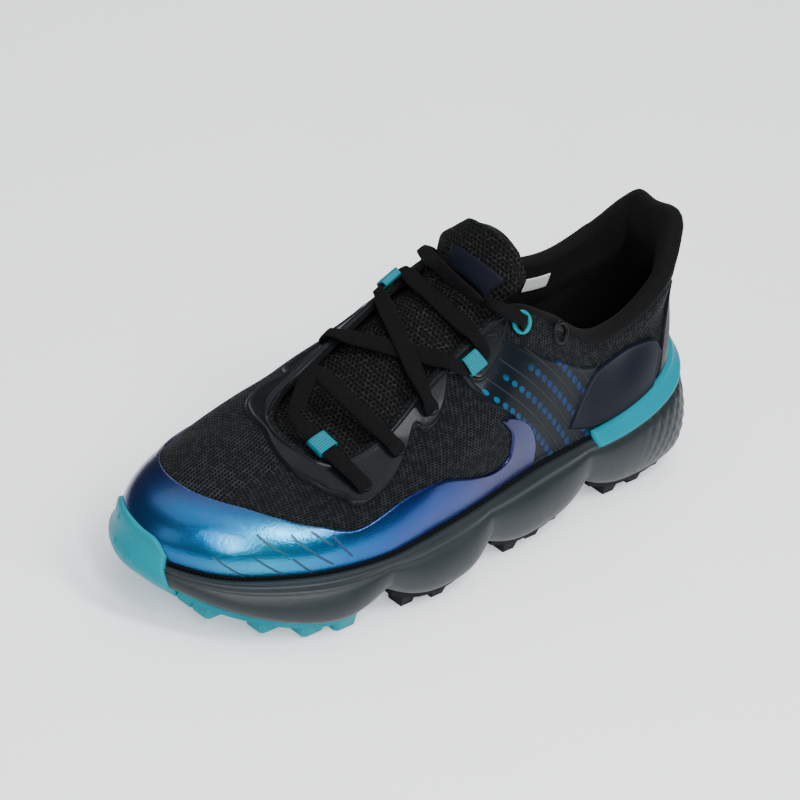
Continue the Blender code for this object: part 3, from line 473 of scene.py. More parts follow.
def run_at(u):
    """Length walked along the upper's foot from the heel to u."""
    return np.interp(u, FINE_U, FINE_RUN - np.interp(0.0, FINE_U, FINE_RUN))


print("round the upper's foot:", round(float(run_at(1.0)), 3), "m")

# %% [markdown]
# ## Skin of the upper
#
# A real upper is pulled over a last, and its skin is close to a set of ribs that rise from the sole to the
# edge of collar and throat. Each rib is a Bezier curve with four points: foot, two handles and top. The
# handles' lengths and tilts come from the table, so the toe is low and round, and the heel stands up and
# leans in.

# %% Ribs and normals
def skin(u, v):
    """Points at matching u and v: the cubic Bezier sum of foot, two handles and top, weighted by v."""
    foot = bite_line(u)
    out = level_normals(bite_line, u)
    keys = [side_u(row[0], row[1]) for row in RIM_ROWS]
    columns = round_trip(keys, [row[2:] for row in RIM_ROWS], u)
    along, across, height, rise, lean, fall, slope = np.moveaxis(columns, -1, 0)
    place = place_of(u)
    tall = HEEL_HEIGHT + (INSTEP_HEIGHT - HEEL_HEIGHT) * smooth((place - 0.05) / 0.25)
    top = np.stack([UPPER_SETBACK + UPPER_LENGTH * along, across * width_at(place), tall * height], axis=-1)
    lean, slope = np.radians(lean)[..., None], np.radians(slope)[..., None]
    reach = np.linalg.norm(top - foot, axis=-1)
    up = np.array([0.0, 0.0, 1.0])
    first = foot + (reach * rise)[..., None] * (np.sin(lean) * out + np.cos(lean) * up)
    last = top + (reach * fall)[..., None] * (np.cos(slope) * out - np.sin(slope) * up)
    t = np.asarray(v, float)[..., None]
    return (1 - t) ** 3 * foot + 3 * (1 - t) ** 2 * t * first + 3 * (1 - t) * t**2 * last + t**3 * top


def skin_normals(u, v, step_u=0.0012, step_v=0.01):
    """Cross product of the ways up and round, from small steps each way."""
    round_way = skin(u + step_u, v) - skin(u - step_u, v)
    rise = skin(u, v + step_v) - skin(u, v - step_v)
    return unit(np.cross(rise, round_way))


# %% [markdown]
# ### Soft forms
#
# Cloth over a last isn't smooth: the padded collar swells below its binding, the vamp has faint troughs
# where the toes bend, and the quarter sinks a little where no overlay holds it. They are placed one by one as
# troughs and ridges in the shoe's own sizes, each a bell across its line.

# %% Troughs, ridges and padding
CREASE_ROWS = (
    # side, place, up, turn, length, width, depth
    ("outer", 0.900, 0.72, 0.30, 0.060, 0.022, -0.0007),
    ("inner", 0.930, 0.70, -0.25, 0.060, 0.022, -0.0007),
    ("outer", 0.700, 0.50, 0.60, 0.055, 0.020, -0.0006),
    ("outer", 0.640, 0.62, 0.80, 0.050, 0.020, 0.0005),
    ("inner", 0.720, 0.45, -0.60, 0.060, 0.022, -0.0008),
    ("inner", 0.620, 0.50, -0.70, 0.060, 0.022, -0.0006),
    ("inner", 0.500, 0.40, -0.50, 0.060, 0.025, 0.0006),
    ("inner", 0.300, 0.45, 0.20, 0.060, 0.025, -0.0008),
    ("outer", 0.180, 0.62, 0.10, 0.050, 0.020, -0.0006),
)
RIB_LENGTH = 0.075


def relief(u, v):
    """Rise of the cloth in metres: collar padding plus the listed troughs and ridges."""
    place = place_of(u)
    collar = 1.0 - smooth((place - 0.36) / 0.12)
    rise = 0.0012 * collar * hump(v, 0.86, 0.13) - 0.0005 * collar * hump(v, binding_edge(u), 0.018)
    for side, at, up, turn, length, width, depth in CREASE_ROWS:
        x = run_at(np.mod(u, 1.0)) - run_at(side_u(side, at))
        y = (v - up) * RIB_LENGTH
        along, across = x * turn + y, x - y * turn
        rise = rise + depth * hump(along, 0.0, length / 2.0) * hump(across, 0.0, width / 2.0)
    return rise


def binding_edge(u):
    """How far up the ribs the collar's knit begins: near the rim at the sides, lower down at the heel."""
    place = place_of(u)
    return 0.962 - 0.25 * (1.0 - smooth((place - 0.02) / 0.10))


def dressed(u, v):
    """Points and normals of the cloth's outside at matching u and v."""
    normal = skin_normals(u, v)
    return skin(u, v) + normal * relief(u, v)[..., None], normal


def lengths_at(u, v):
    """The map that patterns follow: metres walked round the foot, and metres up the rib."""
    return np.stack([run_at(u), np.asarray(v) * RIB_LENGTH], axis=-1)


# %% [markdown]
# ## From points to a piece
#
# Every piece is a grid of points, open or closed each way. One function joins the grid into faces, merges
# the rows that meet at a pole, turns all faces outwards and gives the piece its finish, its map and its
# body.

# %% Mesh maker
def piece(name, grid, finish, slot, replaces=(), closed=(False, True), caps=True, lengths=None, fields=None,
          zones=None, crisp=None):
    """A mesh over the grid. Lengths has one more row each closed way. Zones numbers each face's finish."""
    nu, nv = grid.shape[:2]
    i = np.arange(nu if closed[0] else nu - 1)[:, None]
    j = np.arange(nv if closed[1] else nv - 1)[None, :]
    corners = [(i, j), (i + 1, j), (i + 1, j + 1), (i, j + 1)]
    quads = np.stack([np.broadcast_to((a % nu) * nv + b % nv, (i.size, j.size)) for a, b in corners], axis=-1)
    faces = quads.reshape(-1, 4).tolist()
    if caps and not closed[0]:
        faces += [list(range(nv)), [(nu - 1) * nv + k for k in reversed(range(nv))]]
    mesh = bpy.data.meshes.new(name)
    mesh.from_pydata((grid - MIDDLE).reshape(-1, 3).tolist(), [], faces)
    if lengths is not None:
        table = lengths.reshape(-1, 2)
        wide = lengths.shape[1]
        spots = [np.broadcast_to(a * wide + b, (i.size, j.size)) for a, b in corners]
        at = np.stack(spots, axis=-1).reshape(-1)
        flat = np.zeros((len(mesh.loops), 2))
        flat[: len(at)] = table[at]
        mesh.uv_layers.new(name="lengths").data.foreach_set("uv", flat.ravel())
    for key, values in (fields or {}).items():
        kept = mesh.attributes.new(key, "FLOAT", "POINT")
        kept.data.foreach_set("value", np.ravel(values).astype(np.float32))
    for each in finish if isinstance(finish, (list, tuple)) else [finish]:
        mesh.materials.append(each)
    if zones is not None:
        spare = np.zeros(len(mesh.polygons) - zones.size)
        numbers = np.concatenate([zones.ravel(), spare]).astype(np.int32)
        mesh.polygons.foreach_set("material_index", numbers)
    shape = bmesh.new()
    shape.from_mesh(mesh)
    bmesh.ops.remove_doubles(shape, verts=shape.verts, dist=2e-6)
    bmesh.ops.recalc_face_normals(shape, faces=shape.faces)
    shape.to_mesh(mesh)
    shape.free()
    mesh.shade_smooth()
    if crisp:
        mesh.set_sharp_from_angle(angle=np.radians(crisp))
    made = bpy.data.objects.new(name, mesh)
    bpy.context.scene.collection.objects.link(made)
    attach(made, "root")
    if replaces:
        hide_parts(*replaces)
    print(f"{name}: {len(mesh.polygons)} faces")
    return made


def joined(name, grids, finish, slot, **more):
    """Several grids of the same size, each closed by its caps, as one piece."""
    parts = [piece(f"{name}_{k}", grid, finish, slot, **more) for k, grid in enumerate(grids)]
    whole = bmesh.new()
    for part in parts:
        whole.from_mesh(part.data)
    mesh = parts[0].data
    whole.to_mesh(mesh)
    whole.free()
    for part in parts[1:]:
        bpy.data.objects.remove(part, do_unlink=True)
    parts[0].name = name
    mesh.name = name
    return parts[0]


# %% [markdown]
# ## The mesh upper
#
# The body of the upper is a coarse engineered mesh: black yarn with grey threads that cross it in small
# cells, and random flecks of the yarn are painted lighter, partly the threads' grey and partly a painted
# glint. The weave is too fine for geometry, so it is a height and a colour worked out from the map of
# lengths. The collar, its lining and the heel tab are a soft knit with fine ribs.

# %% Mesh and knit finishes
mesh_cloth = Finish("black_mesh", roughness=0.6, specular_ior_level=0.12)
place = mesh_cloth.node("ShaderNodeTexCoord", {}, {}, 3)
x, y, z = (mesh_cloth.node("ShaderNodeSeparateXYZ", {}, {0: place}, k) for k in range(3))
CELL = 0.00185
girth = (y - 0.003).call("absolute") - z
slant = x + girth * 0.35
hole = mesh_cloth.holes(slant, girth, CELL, CELL * 0.85)
thread = wave(girth, CELL * 0.85) * 0.5 + 0.5
fleck = mesh_cloth.noise(420.0, 1.0)
# Lighter yarn flecks: partly the grey threads' own colour, partly a painted glint.
glint = fleck.step(0.40, 0.66)
yarn = mesh_cloth.blend(glint, (0.0052, 0.0068, 0.0078), (0.0165, 0.0205, 0.0235))
black_mesh = mesh_cloth.show(
    mesh_cloth.blend(hole, yarn, (0.0006, 0.0006, 0.0007)), hole * 0.2 + 0.60, (1.0 - hole) * thread, 0.0009)

knit_cloth = Finish(
    "collar_knit", roughness=0.85, specular_ior_level=0.08, sheen_weight=0.02, sheen_roughness=0.4)
x, y, _ = knit_cloth.cloth_place()
rib = wave(x, 0.0011)
stitch = wave(y, 0.0009)
soft = knit_cloth.noise(160.0, 3.0)
collar_knit = knit_cloth.show(
    knit_cloth.blend(rib * 0.6 + soft * 0.4, (0.0022, 0.0023, 0.0025), (0.0065, 0.0066, 0.0070)),
    None, rib * 0.6 + stitch * 0.4, 0.0002)
print("cloths:", black_mesh.name, collar_knit.name)

# %% The upper as one shell
ROUND, RISE, LINING = 560, 64, 30
CAP_TURNS = np.linspace(0.0, np.pi, 10)[1:-1]


def upper_wall(u, v):
    """Thickness of the upper: cloth alone at the toe, padded towards the collar's rim."""
    collar = 1.0 - smooth((place_of(u) - 0.34) / 0.14)
    return WALL + (COLLAR_PAD - WALL) * collar * smooth((v - 0.30) / 0.55)


U = round_u(ROUND)
rise = np.linspace(0.0, 1.0, RISE)
u_grid, v_grid = np.meshgrid(U, rise, indexing="ij")
outside, normal = dressed(u_grid, v_grid)
lining_v = np.linspace(1.0, 0.0, LINING)
u_in, v_in = np.meshgrid(U, lining_v, indexing="ij")
inside = skin(u_in, v_in) - skin_normals(u_in, v_in) * upper_wall(u_in, v_in)[..., None]
rim_out, rim_in = outside[:, -1:], inside[:, :1]
core = (rim_out + rim_in) / 2.0
way = unit(outside[:, -1:] - outside[:, -4:-3])
height = np.linalg.norm(rim_out - rim_in, axis=2, keepdims=True) * 0.46
turns = CAP_TURNS[None, :, None]
cap = core + (rim_out - core) * np.cos(turns) + way * height * np.sin(turns)
foot_out = level_normals(bite_line, U)
hem = bite_line(U) - foot_out * TUCK
hem[:, 2] = bed_height(U) + GAP
inner_hem = hem - foot_out * WALL
section = np.concatenate([hem[:, None], outside, cap, inside, inner_hem[:, None]], axis=1)
u_all = np.concatenate([U, [1.0]])
v_all = np.concatenate([[-0.1], rise, 1.0 + CAP_TURNS * 0.03, 1.1 + (1.0 - lining_v), [2.2], [2.3]])
u_map, v_map = np.meshgrid(u_all, v_all, indexing="ij")
v_mid = v_all[None, : section.shape[1]] * np.ones((ROUND, 1))
knit_zone = (v_mid > binding_edge(U)[:, None]) & ((place_of(U)[:, None] < 0.50) | (v_mid > 1.0))
piece(
    "upper_shell", section, [black_mesh, collar_knit], "black_mesh", ["upper"], closed=(True, True),
    lengths=lengths_at(u_map, v_map), zones=knit_zone.astype(int))

# %% [markdown]
# ## Overlays on the upper
#
# Films, guard and clip are thin sheets fused to the cloth. Each is a grid of places on the skin between two
# edge curves. The sheet's edge is rounded with a quarter circle, and a bead may run just inside it, because
# moulded film catches the light there.

# %% Overlay maker
def from_edges(run):
    """Distances from the two ends of each line of points, the smaller of the two."""
    steps = np.linalg.norm(np.diff(run, axis=1), axis=2)
    walked = np.concatenate([np.zeros((len(run), 1)), np.cumsum(steps, axis=1)], axis=1)
    return np.minimum(walked, walked[:, -1:] - walked)


def closing(count):
    """Shares from 0 to 1 that lie closer together near both ends: half of (1 - cosine)."""
    return (1.0 - np.cos(np.linspace(0.0, np.pi, count))) / 2.0


SHEET_ROUND = 0.0012
BEAD_AT, BEAD_SPREAD = 0.0016, 0.0008
SHEET_ROOT = 0.0004


def overlay(name, u, v, thick, finish, slot, replaces=(), bead=0.0, lift=0.0, fields=None):
    """A sheet on the dressed skin. At d from its edge it rises by thick times root(1 - (1 - d/round)^2)."""
    points, normal = dressed(u, v)
    edge = np.minimum(from_edges(points), from_edges(points.transpose(1, 0, 2)).T)
    near = np.clip(edge / SHEET_ROUND, 0.0, 1.0)
    rise = lift * near + thick * np.sqrt(1.0 - (1.0 - near) ** 2) + bead * hump(edge, BEAD_AT, BEAD_SPREAD)
    over = points + normal * rise[..., None]
    under = points - normal * SHEET_ROOT
    grid = np.concatenate([over, under[:, ::-1]], axis=1)
    spot = lengths_at(u, v)
    both = np.concatenate([spot, spot[:, ::-1], spot[:, :1]], axis=1)
    marks = {key: np.concatenate([value, value[:, ::-1]], axis=1) for key, value in (fields or {}).items()}
    return piece(name, grid, finish, slot, replaces, lengths=both, fields=marks)


# %% [markdown]
# ### Toe guard
#
# The guard is a moulded film whose colour turns with the light, from cyan on the outer side of the toe to
# violet at midfoot and navy on the inner side. A metal-like surface with a fine grain reflects the soft
# boxes as long streaks. The turn of colour is painted along the band, and both its edges are painted darker
# as painted shade. Short dark cuts cross its lower half.

# %% Guard finish
GUARD_ROWS = (
    # lower edge: side, place, up; upper edge: side, place, up
    ("outer", 0.478, 0.424, "outer", 0.492, 0.414),
    ("outer", 0.440, 0.385, "outer", 0.462, 0.340),
    ("outer", 0.405, 0.315, "outer", 0.451, 0.288),
    ("outer", 0.382, 0.215, "outer", 0.446, 0.228),
    ("outer", 0.372, 0.110, "outer", 0.447, 0.180),
    ("outer", 0.376, 0.012, "outer", 0.462, 0.152),
    ("outer", 0.430, 0.012, "outer", 0.490, 0.152),
    ("outer", 0.500, 0.012, "outer", 0.540, 0.205),
    ("outer", 0.590, 0.012, "outer", 0.617, 0.310),
    ("outer", 0.690, 0.012, "outer", 0.703, 0.360),
    ("outer", 0.772, 0.012, "outer", 0.772, 0.300),
    ("outer", 0.811, 0.012, "outer", 0.811, 0.335),
    ("outer", 0.855, 0.012, "outer", 0.855, 0.425),
    ("outer", 0.898, 0.012, "outer", 0.898, 0.495),
    ("outer", 0.940, 0.012, "outer", 0.940, 0.540),
    ("outer", 0.973, 0.012, "outer", 0.973, 0.545),
    ("tip", 1.000, 0.012, "tip", 1.000, 0.500),
    ("inner", 0.958, 0.012, "inner", 0.958, 0.450),
    ("inner", 0.905, 0.012, "inner", 0.905, 0.390),
    ("inner", 0.840, 0.012, "inner", 0.840, 0.310),
    ("inner", 0.750, 0.012, "inner", 0.750, 0.240),
    ("inner", 0.650, 0.012, "inner", 0.650, 0.180),
    ("inner", 0.580, 0.012, "inner", 0.580, 0.070),
)
CUT_ROWS = (
    # place and height of one end, place and height of the other, all on the outer side
    (0.939, 0.381, 0.878, 0.213),
    (0.897, 0.394, 0.798, 0.069),
    (0.821, 0.300, 0.770, 0.100),
    (0.956, 0.156, 0.914, 0.030),
    (0.915, 0.188, 0.866, 0.038),
    (0.861, 0.160, 0.826, 0.031),
    (0.868, 0.400, 0.815, 0.230),
)
GUARD_COLOURS = (
    # place along the band, red, green, blue
    (0.30, 0.008, 0.012, 0.100),
    (0.40, 0.004, 0.040, 0.200),
    (0.48, 0.002, 0.120, 0.330),
    (0.60, 0.002, 0.230, 0.400),
    (0.69, 0.003, 0.100, 0.260),
    (0.76, 0.006, 0.012, 0.075),
)
guard_film = Finish("blue_guard", roughness=0.3, coat_weight=0.16, coat_roughness=0.08)
x, y, spot = guard_film.cloth_place()
cuts = None
for first_place, first_up, last_place, last_up in CUT_ROWS:
    start = lengths_at(side_u("outer", first_place), first_up)
    end = lengths_at(side_u("outer", last_place), last_up)
    reach = float(np.linalg.norm(end - start))
    dx, dy = (end - start) / reach
    along = (x - float(start[0])) * float(dx) + (y - float(start[1])) * float(dy)
    across = (x - float(start[0])) * float(-dy) + (y - float(start[1])) * float(dx)
    beyond = (along - reach).larger(along * -1.0).larger(0.0)
    off = (across * across + beyond * beyond).call("sqrt")
    cut = off.step(0.00052, 0.00022)
    cuts = cut if cuts is None else cuts.larger(cut)
turn = guard_film.field("turn")
# Painted shade: both long edges of the band are blended towards dark violet.
painted_edge_shade = guard_film.field("shade")
ramp = guard_film.node("ShaderNodeValToRGB", {}, {0: turn})
stops = ramp.socket.node.color_ramp
stops.elements[0].position, stops.elements[0].color = 0.0, (0.006, 0.006, 0.048, 1.0)
stops.elements[1].position, stops.elements[1].color = 1.0, (0.006, 0.005, 0.024, 1.0)
for position, *colour in GUARD_COLOURS:
    stops.elements.new(position).color = (*colour, 1.0)
grain = guard_film.noise(1500.0, 2.0)
cloudy = guard_film.noise(45.0, 3.0)
tinted = guard_film.blend(painted_edge_shade, ramp, (0.008, 0.008, 0.066))
tinted = guard_film.blend(cloudy.step(0.45, 0.75) * 0.25, tinted, (0.002, 0.045, 0.16))
blue_guard = guard_film.show(
    guard_film.blend(cuts * 0.85, tinted, (0.003, 0.006, 0.016)), cuts * 0.3 + grain * 0.12 + 0.14,
    grain * 0.35 + (1.0 - cuts) * 0.65, 0.00035, metallic=(1.0 - cuts) * 0.82)
print("cuts in the guard:", len(CUT_ROWS))

# %% Guard
GUARD_STEPS = (640, 44)
GUARD_THICK = 0.0011
stations = np.arange(len(GUARD_ROWS))
turn_share = np.linspace(0.0, 1.0, GUARD_STEPS[0])[:, None] * np.ones((1, GUARD_STEPS[1]))
low_u, low_v, high_u, high_v = (
    curve_through(stations, column, turn_share[:, 0] * stations[-1])[:, None]
    for column in zip(*((side_u(a, b), c, side_u(d, e), f) for a, b, c, d, e, f in GUARD_ROWS)))
edge_share = closing(GUARD_STEPS[1])[None, :] * np.ones((GUARD_STEPS[0], 1))
u = low_u * (1.0 - edge_share) + high_u * edge_share
v = low_v * (1.0 - edge_share) + high_v * edge_share
# Painted shade, 0 to 1: strongest at the band's upper and lower edges.
shade = np.clip(smooth((edge_share - 0.72) / 0.28) * 0.6 + smooth((0.16 - edge_share) / 0.16) * 0.5, 0, 1)
overlay("guard", u, v, GUARD_THICK, blue_guard, "blue_guard", ["toe_guard"],
        fields={"turn": turn_share, "shade": shade})

# %% [markdown]
# ### Film stay and panel
#
# A dark glossy film frames the throat in scallops, one for each eyelet, and widens into a panel that runs
# back and down across the midfoot. Thin ridges cross the panel, with a row of small blue ovals between each
# two.

# %% Film finish
STAY_ROWS = (
    # side, place, edge
    ("outer", 0.500, 0.930),
    ("outer", 0.530, 0.780),
    ("outer", 0.570, 0.720),
    ("outer", 0.600, 0.790),
    ("outer", 0.628, 0.890),
    ("outer", 0.645, 0.900),
    ("outer", 0.654, 0.800),
    ("outer", 0.666, 0.728),
    ("outer", 0.683, 0.708),
    ("outer", 0.703, 0.745),
    ("outer", 0.720, 0.805),
    ("outer", 0.731, 0.790),
    ("outer", 0.742, 0.660),
    ("outer", 0.756, 0.560),
    ("outer", 0.775, 0.520),
    ("outer", 0.797, 0.505),
    ("outer", 0.822, 0.540),
    ("outer", 0.860, 0.670),
    ("outer", 0.909, 0.775),
    ("outer", 0.977, 0.865),
    ("tip", 1.000, 0.920),
    ("inner", 0.982, 0.940),
    ("inner", 0.930, 0.880),
    ("inner", 0.870, 0.790),
    ("inner", 0.835, 0.760),
    ("inner", 0.800, 0.830),
    ("inner", 0.765, 0.740),
    ("inner", 0.725, 0.830),
    ("inner", 0.685, 0.750),
    ("inner", 0.640, 0.840),
    ("inner", 0.590, 0.760),
    ("inner", 0.540, 0.830),
    ("inner", 0.500, 0.930),
)
film = Finish("slate_film", roughness=0.2, specular_ior_level=0.06, coat_weight=0.07, coat_roughness=0.10)
worn = film.noise(70.0, 4.0)
fine = film.noise(1200.0, 1.0)
slate_film = film.show(
    film.blend(worn, (0.0035, 0.0045, 0.0058), (0.0085, 0.011, 0.013)),
    worn * 0.16 + 0.24, fine * 0.5 + worn * 0.5, 0.0002)

# %% Stay round the throat
STAY_STEPS = (900, 34)
STAY_TOP = 0.992
keys = [side_u(row[0], row[1]) for row in STAY_ROWS]
u = np.linspace(keys[0], keys[-1], STAY_STEPS[0])[:, None] * np.ones((1, STAY_STEPS[1]))
low = edge_curve(STAY_ROWS, u[:, 0])
v = low[:, None] + (STAY_TOP - low)[:, None] * closing(STAY_STEPS[1])[None, :]
overlay("stay", u, v, 0.0008, slate_film, "slate_film", ["eyestay"], bead=0.0006)

# %% Panel finish
ROW_GAP = 0.0098
OVAL_GAP = 0.0054
OVAL_LONG, OVAL_WIDE = 0.0023, 0.0016
ROW_BEND = 2.0
LINE_AT = (-0.0284, 0.0576)
LINE_TILT = np.radians(45.0)
panel_film = Finish(
    "panel_film", roughness=0.3, specular_ior_level=0.04, coat_weight=0.05, coat_roughness=0.12)
place = panel_film.node("ShaderNodeTexCoord", {}, {}, 3)
x, z = (panel_film.node("ShaderNodeSeparateXYZ", {}, {0: place}, k) - at for k, at in zip((0, 2), LINE_AT))
down = (x * float(np.cos(LINE_TILT)) + z * float(np.sin(LINE_TILT))) * -1.0
aside = z * float(np.cos(LINE_TILT)) - x * float(np.sin(LINE_TILT)) + down * down * ROW_BEND - 0.0046
lane = aside / ROW_GAP
from_ridge = ((lane + 0.5).call("fract") - 0.5).call("absolute") * ROW_GAP
from_row = (lane.call("fract") - 0.5) * ROW_GAP
from_oval = ((down / OVAL_GAP).call("fract") - 0.5) * OVAL_GAP
swell = down.step(-0.045, 0.010) * 0.45 + 0.55
oval = ((from_oval / (swell * OVAL_LONG)) * (from_oval / (swell * OVAL_LONG))
        + (from_row / (swell * OVAL_WIDE)) * (from_row / (swell * OVAL_WIDE)))
dot = oval.step(1.15, 0.85) * down.step(-0.034, -0.028) * z.step(0.0265, 0.0205) * (1.0 - lane.step(2.6, 3.2))
ridge = from_ridge.step(0.00045, 0.00015)
dot_colour = panel_film.blend(down.step(-0.036, 0.000), (0.002, 0.105, 0.205), (0.004, 0.021, 0.068))
cloud = panel_film.noise(60.0, 3.0)
ground = panel_film.blend(cloud, (0.0030, 0.0048, 0.0068), (0.0068, 0.0102, 0.0138))
ground = panel_film.blend(ridge * 0.7, ground, (0.030, 0.036, 0.042))
panel_finish = panel_film.show(
    panel_film.blend(dot, ground, dot_colour), cloud * 0.14 + 0.24 - dot * 0.08,
    ridge * 0.8 + dot * 0.35 + cloud * 0.1, 0.0006)

# %% Panel and heel patch
def cut_grid(left, right, low, high, along, across):
    """Grids u and v between two upright edges (place by share up) and two long ones (height by share back)."""
    s, t = closing(along), closing(across)
    left_place, right_place = (curve_through(*zip(*rows), t) for rows in (left, right))
    low_up, high_up = (curve_through(*zip(*rows), s) for rows in (low, high))
    place = left_place[None, :] * (1.0 - s[:, None]) + right_place[None, :] * s[:, None]
    return side_u("outer", place), low_up[:, None] + (high_up - low_up)[:, None] * t[None, :]


u, v = cut_grid(
    left=((0.0, 0.415), (0.25, 0.425), (0.44, 0.470), (0.53, 0.520), (0.70, 0.578), (1.0, 0.640)),
    right=((0.0, 0.215), (0.5, 0.235), (1.0, 0.255)),
    low=((0.0, 0.010), (1.0, 0.010)),
    high=((0.0, 0.965), (0.24, 0.945), (0.37, 0.810), (0.52, 0.742), (0.75, 0.735), (1.0, 0.765)),
    along=220, across=110)
overlay("film_panel", u, v, 0.0006, panel_finish, "slate_film", bead=0.00025)

patch_film = Finish("heel_patch", roughness=0.38, specular_ior_level=0.08)
cloud = patch_film.noise(90.0, 3.0)
fine = patch_film.noise(1400.0, 1.0)
patch_finish = patch_film.show(
    patch_film.blend(cloud, (0.0020, 0.0032, 0.0082), (0.0036, 0.0054, 0.0122)),
    cloud * 0.15 + 0.34, fine, 0.00012)
u, v = cut_grid(
    left=((0.0, 0.300), (0.5, 0.285), (1.0, 0.255)),
    right=((0.0, 0.090), (1.0, 0.082)),
    low=((0.0, 0.200), (0.25, 0.110), (1.0, 0.050)),
    high=((0.0, 0.690), (0.12, 0.745), (0.62, 0.690), (0.85, 0.520), (1.0, 0.320)),
    along=90, across=70)
overlay("heel_patch", u, v, 0.0007, patch_finish, "slate_film", lift=0.0005, bead=0.0002)

# %% [markdown]
# ### Heel clip
#
# A stiff moulded band in satin teal plastic wraps the heel just above the foam. Its face is slightly
# crowned. Behind it a narrow glossy film runs up the heel's corner.

# %% Clip's finish, and the film at the heel's corner
clip_plastic = Finish("teal_plastic", roughness=0.34, specular_ior_level=0.06)
cloud = clip_plastic.noise(40.0, 4.0)
fine = clip_plastic.noise(2200.0, 1.0)
teal_plastic = clip_plastic.show(
    clip_plastic.blend(cloud.step(0.35, 0.8), (0.0, 0.200, 0.270), (0.0, 0.170, 0.225)),
    cloud * 0.15 + 0.28, fine, 0.0001)
u, v = cut_grid(
    left=((0.0, 0.080), (0.5, 0.082), (1.0, 0.066)), right=((0.0, 0.050), (0.5, 0.056), (1.0, 0.060)),
    low=((0.0, 0.10), (1.0, 0.10)), high=((0.0, 0.66), (0.5, 0.74), (1.0, 0.70)), along=30, across=60)
overlay("heel_film", u, v, 0.0006, slate_film, "slate_film", lift=0.0006)

# %% [markdown]
# ## Foam midsole
#
# The midsole is one block of moulded foam with four lobes on its wall, hollowed between them so that it
# flexes there. A rib of the wall runs from the underside's edge over a full belly to the lip round the
# upper. The heel lobe carries a shallow relief of cells, which is deep enough to be geometry.

# %% Wall of the foam
def valley(along):
    """1 in the grooves between lobes, 0 on their crests: distance from the lobe's middle to a power."""
    ends = np.concatenate([[-VALLEYS[0] * 0.6], VALLEYS, [1.45]]) * LENGTH
    lobe = np.clip(np.searchsorted(ends, along) - 1, 0, len(ends) - 2)
    middle = (ends[lobe] + ends[lobe + 1]) / 2.0
    half = (ends[lobe + 1] - ends[lobe]) / 2.0
    away = np.abs(along - middle) / half
    inside_ends = (along > ends[1]) & (along < ends[-2])
    return np.clip(away, 0.0, 1.0) ** np.where(inside_ends, 3.0, 6.0)


def spring_height(along):
    """Rise of the underside towards the toe: a power of the way past its start."""
    spring = np.clip((along / LENGTH - SPRING_START) / (1.0 - SPRING_START), 0.0, 1.1)
    return TOE_SPRING * spring**1.8


def under_height(along):
    """Height of the foam's underside: lugs, plate, grooves between lobes and toe spring."""
    return LUG_HEIGHT + PLATE + GAP + VALLEY_RISE * valley(along) + spring_height(along)


BELLY_UP, WAIST_UP = 0.12, 0.80
WAIST_SHARES = (0.62, 0.38)
GROOVE_AT_BELLY, GROOVE_AT_WAIST = 0.8, 0.35


def foam_wall(u, w):
    """Bezier ribs of the foam's wall, from the underside's edge (w 0) over the belly to the rim (w 1)."""
    widest = sole_line(u)
    sole_out = level_normals(sole_line, u, 0.003)
    groove = valley(widest[:, 0])[:, None]
    low = under_height(widest[:, 0])
    rim_edge = bite_line(u) + level_normals(bite_line, u) * RIM
    rise = rim_edge[:, 2] - low
    foot = widest - sole_out * (EDGE_ROUND + VALLEY_DEPTH * groove)
    foot[:, 2] = low
    belly = widest + sole_out * (BULGE - VALLEY_DEPTH * GROOVE_AT_BELLY * groove)
    belly[:, 2] = low + rise * BELLY_UP
    waist = widest * WAIST_SHARES[0] + rim_edge * WAIST_SHARES[1]
    waist = waist + sole_out * (BULGE - VALLEY_DEPTH * GROOVE_AT_WAIST * groove)
    waist[:, 2] = low + rise * WAIST_UP
    t = np.asarray(w, float)[None, :, None]
    return ((1 - t) ** 3 * foot[:, None] + 3 * (1 - t) ** 2 * t * belly[:, None]
            + 3 * (1 - t) * t**2 * waist[:, None] + t**3 * rim_edge[:, None])


# %% Foam finish
foam = Finish("slate_foam", roughness=0.36, specular_ior_level=0.34)
cloud = foam.noise(22.0, 4.0)
pore = foam.noise(1600.0, 2.0)
skin_marks = foam.noise(260.0, 3.0)
slate_foam = foam.show(
    foam.blend(cloud.step(0.3, 0.8), (0.0082, 0.0128, 0.0152), (0.0130, 0.0190, 0.0220)),
    cloud * 0.14 + skin_marks * 0.10 + 0.34, pore * 0.6 + skin_marks * 0.4, 0.0002)

# %% Foam block
CELL_ROUND, CELL_UP, CELL_DEPTH = 0.0062, 0.0074, 0.0006
ROUND_FOAM, WALL_STEPS = 900, 44
UF = round_u(ROUND_FOAM)
wall = foam_wall(UF, np.linspace(0.0, 1.0, WALL_STEPS))
wall_u = np.broadcast_to(UF[:, None], wall.shape[:2])
wall_w = np.broadcast_to(np.linspace(0.0, 1.0, WALL_STEPS)[None, :], wall.shape[:2])
wall_out = unit(np.cross(np.gradient(wall, axis=1), np.roll(wall, -1, axis=0) - np.roll(wall, 1, axis=0)))
lip = 0.0007 * hump(wall_w, 0.90, 0.035) - 0.0006 * hump(wall_w, 0.82, 0.04)
around = run_at(wall_u)
tall = wall[..., 2]
cell_x, cell_y = around / CELL_ROUND + tall / CELL_UP, around / CELL_ROUND - tall / CELL_UP
cells = np.abs(np.sin(np.pi * cell_x) * np.sin(np.pi * cell_y)) ** 0.5
heel_only = smooth((0.175 - place_of(wall_u)) / 0.07)
heel_only = heel_only * smooth((wall_w - 0.12) / 0.15) * smooth((0.93 - wall_w) / 0.1)
wall = wall + wall_out * (lip - CELL_DEPTH * heel_only * (1.0 - cells))[..., None]
foot = bite_line(UF)
foot_out = level_normals(bite_line, UF)
cup_top = foot + foot_out * GAP
cup_low = foot - foot_out * (TUCK - GAP)
cup_low[:, 2] = bed_height(UF)
strip = np.concatenate([wall, cup_top[:, None], cup_low[:, None]], axis=1)
half = ROUND_FOAM // 2
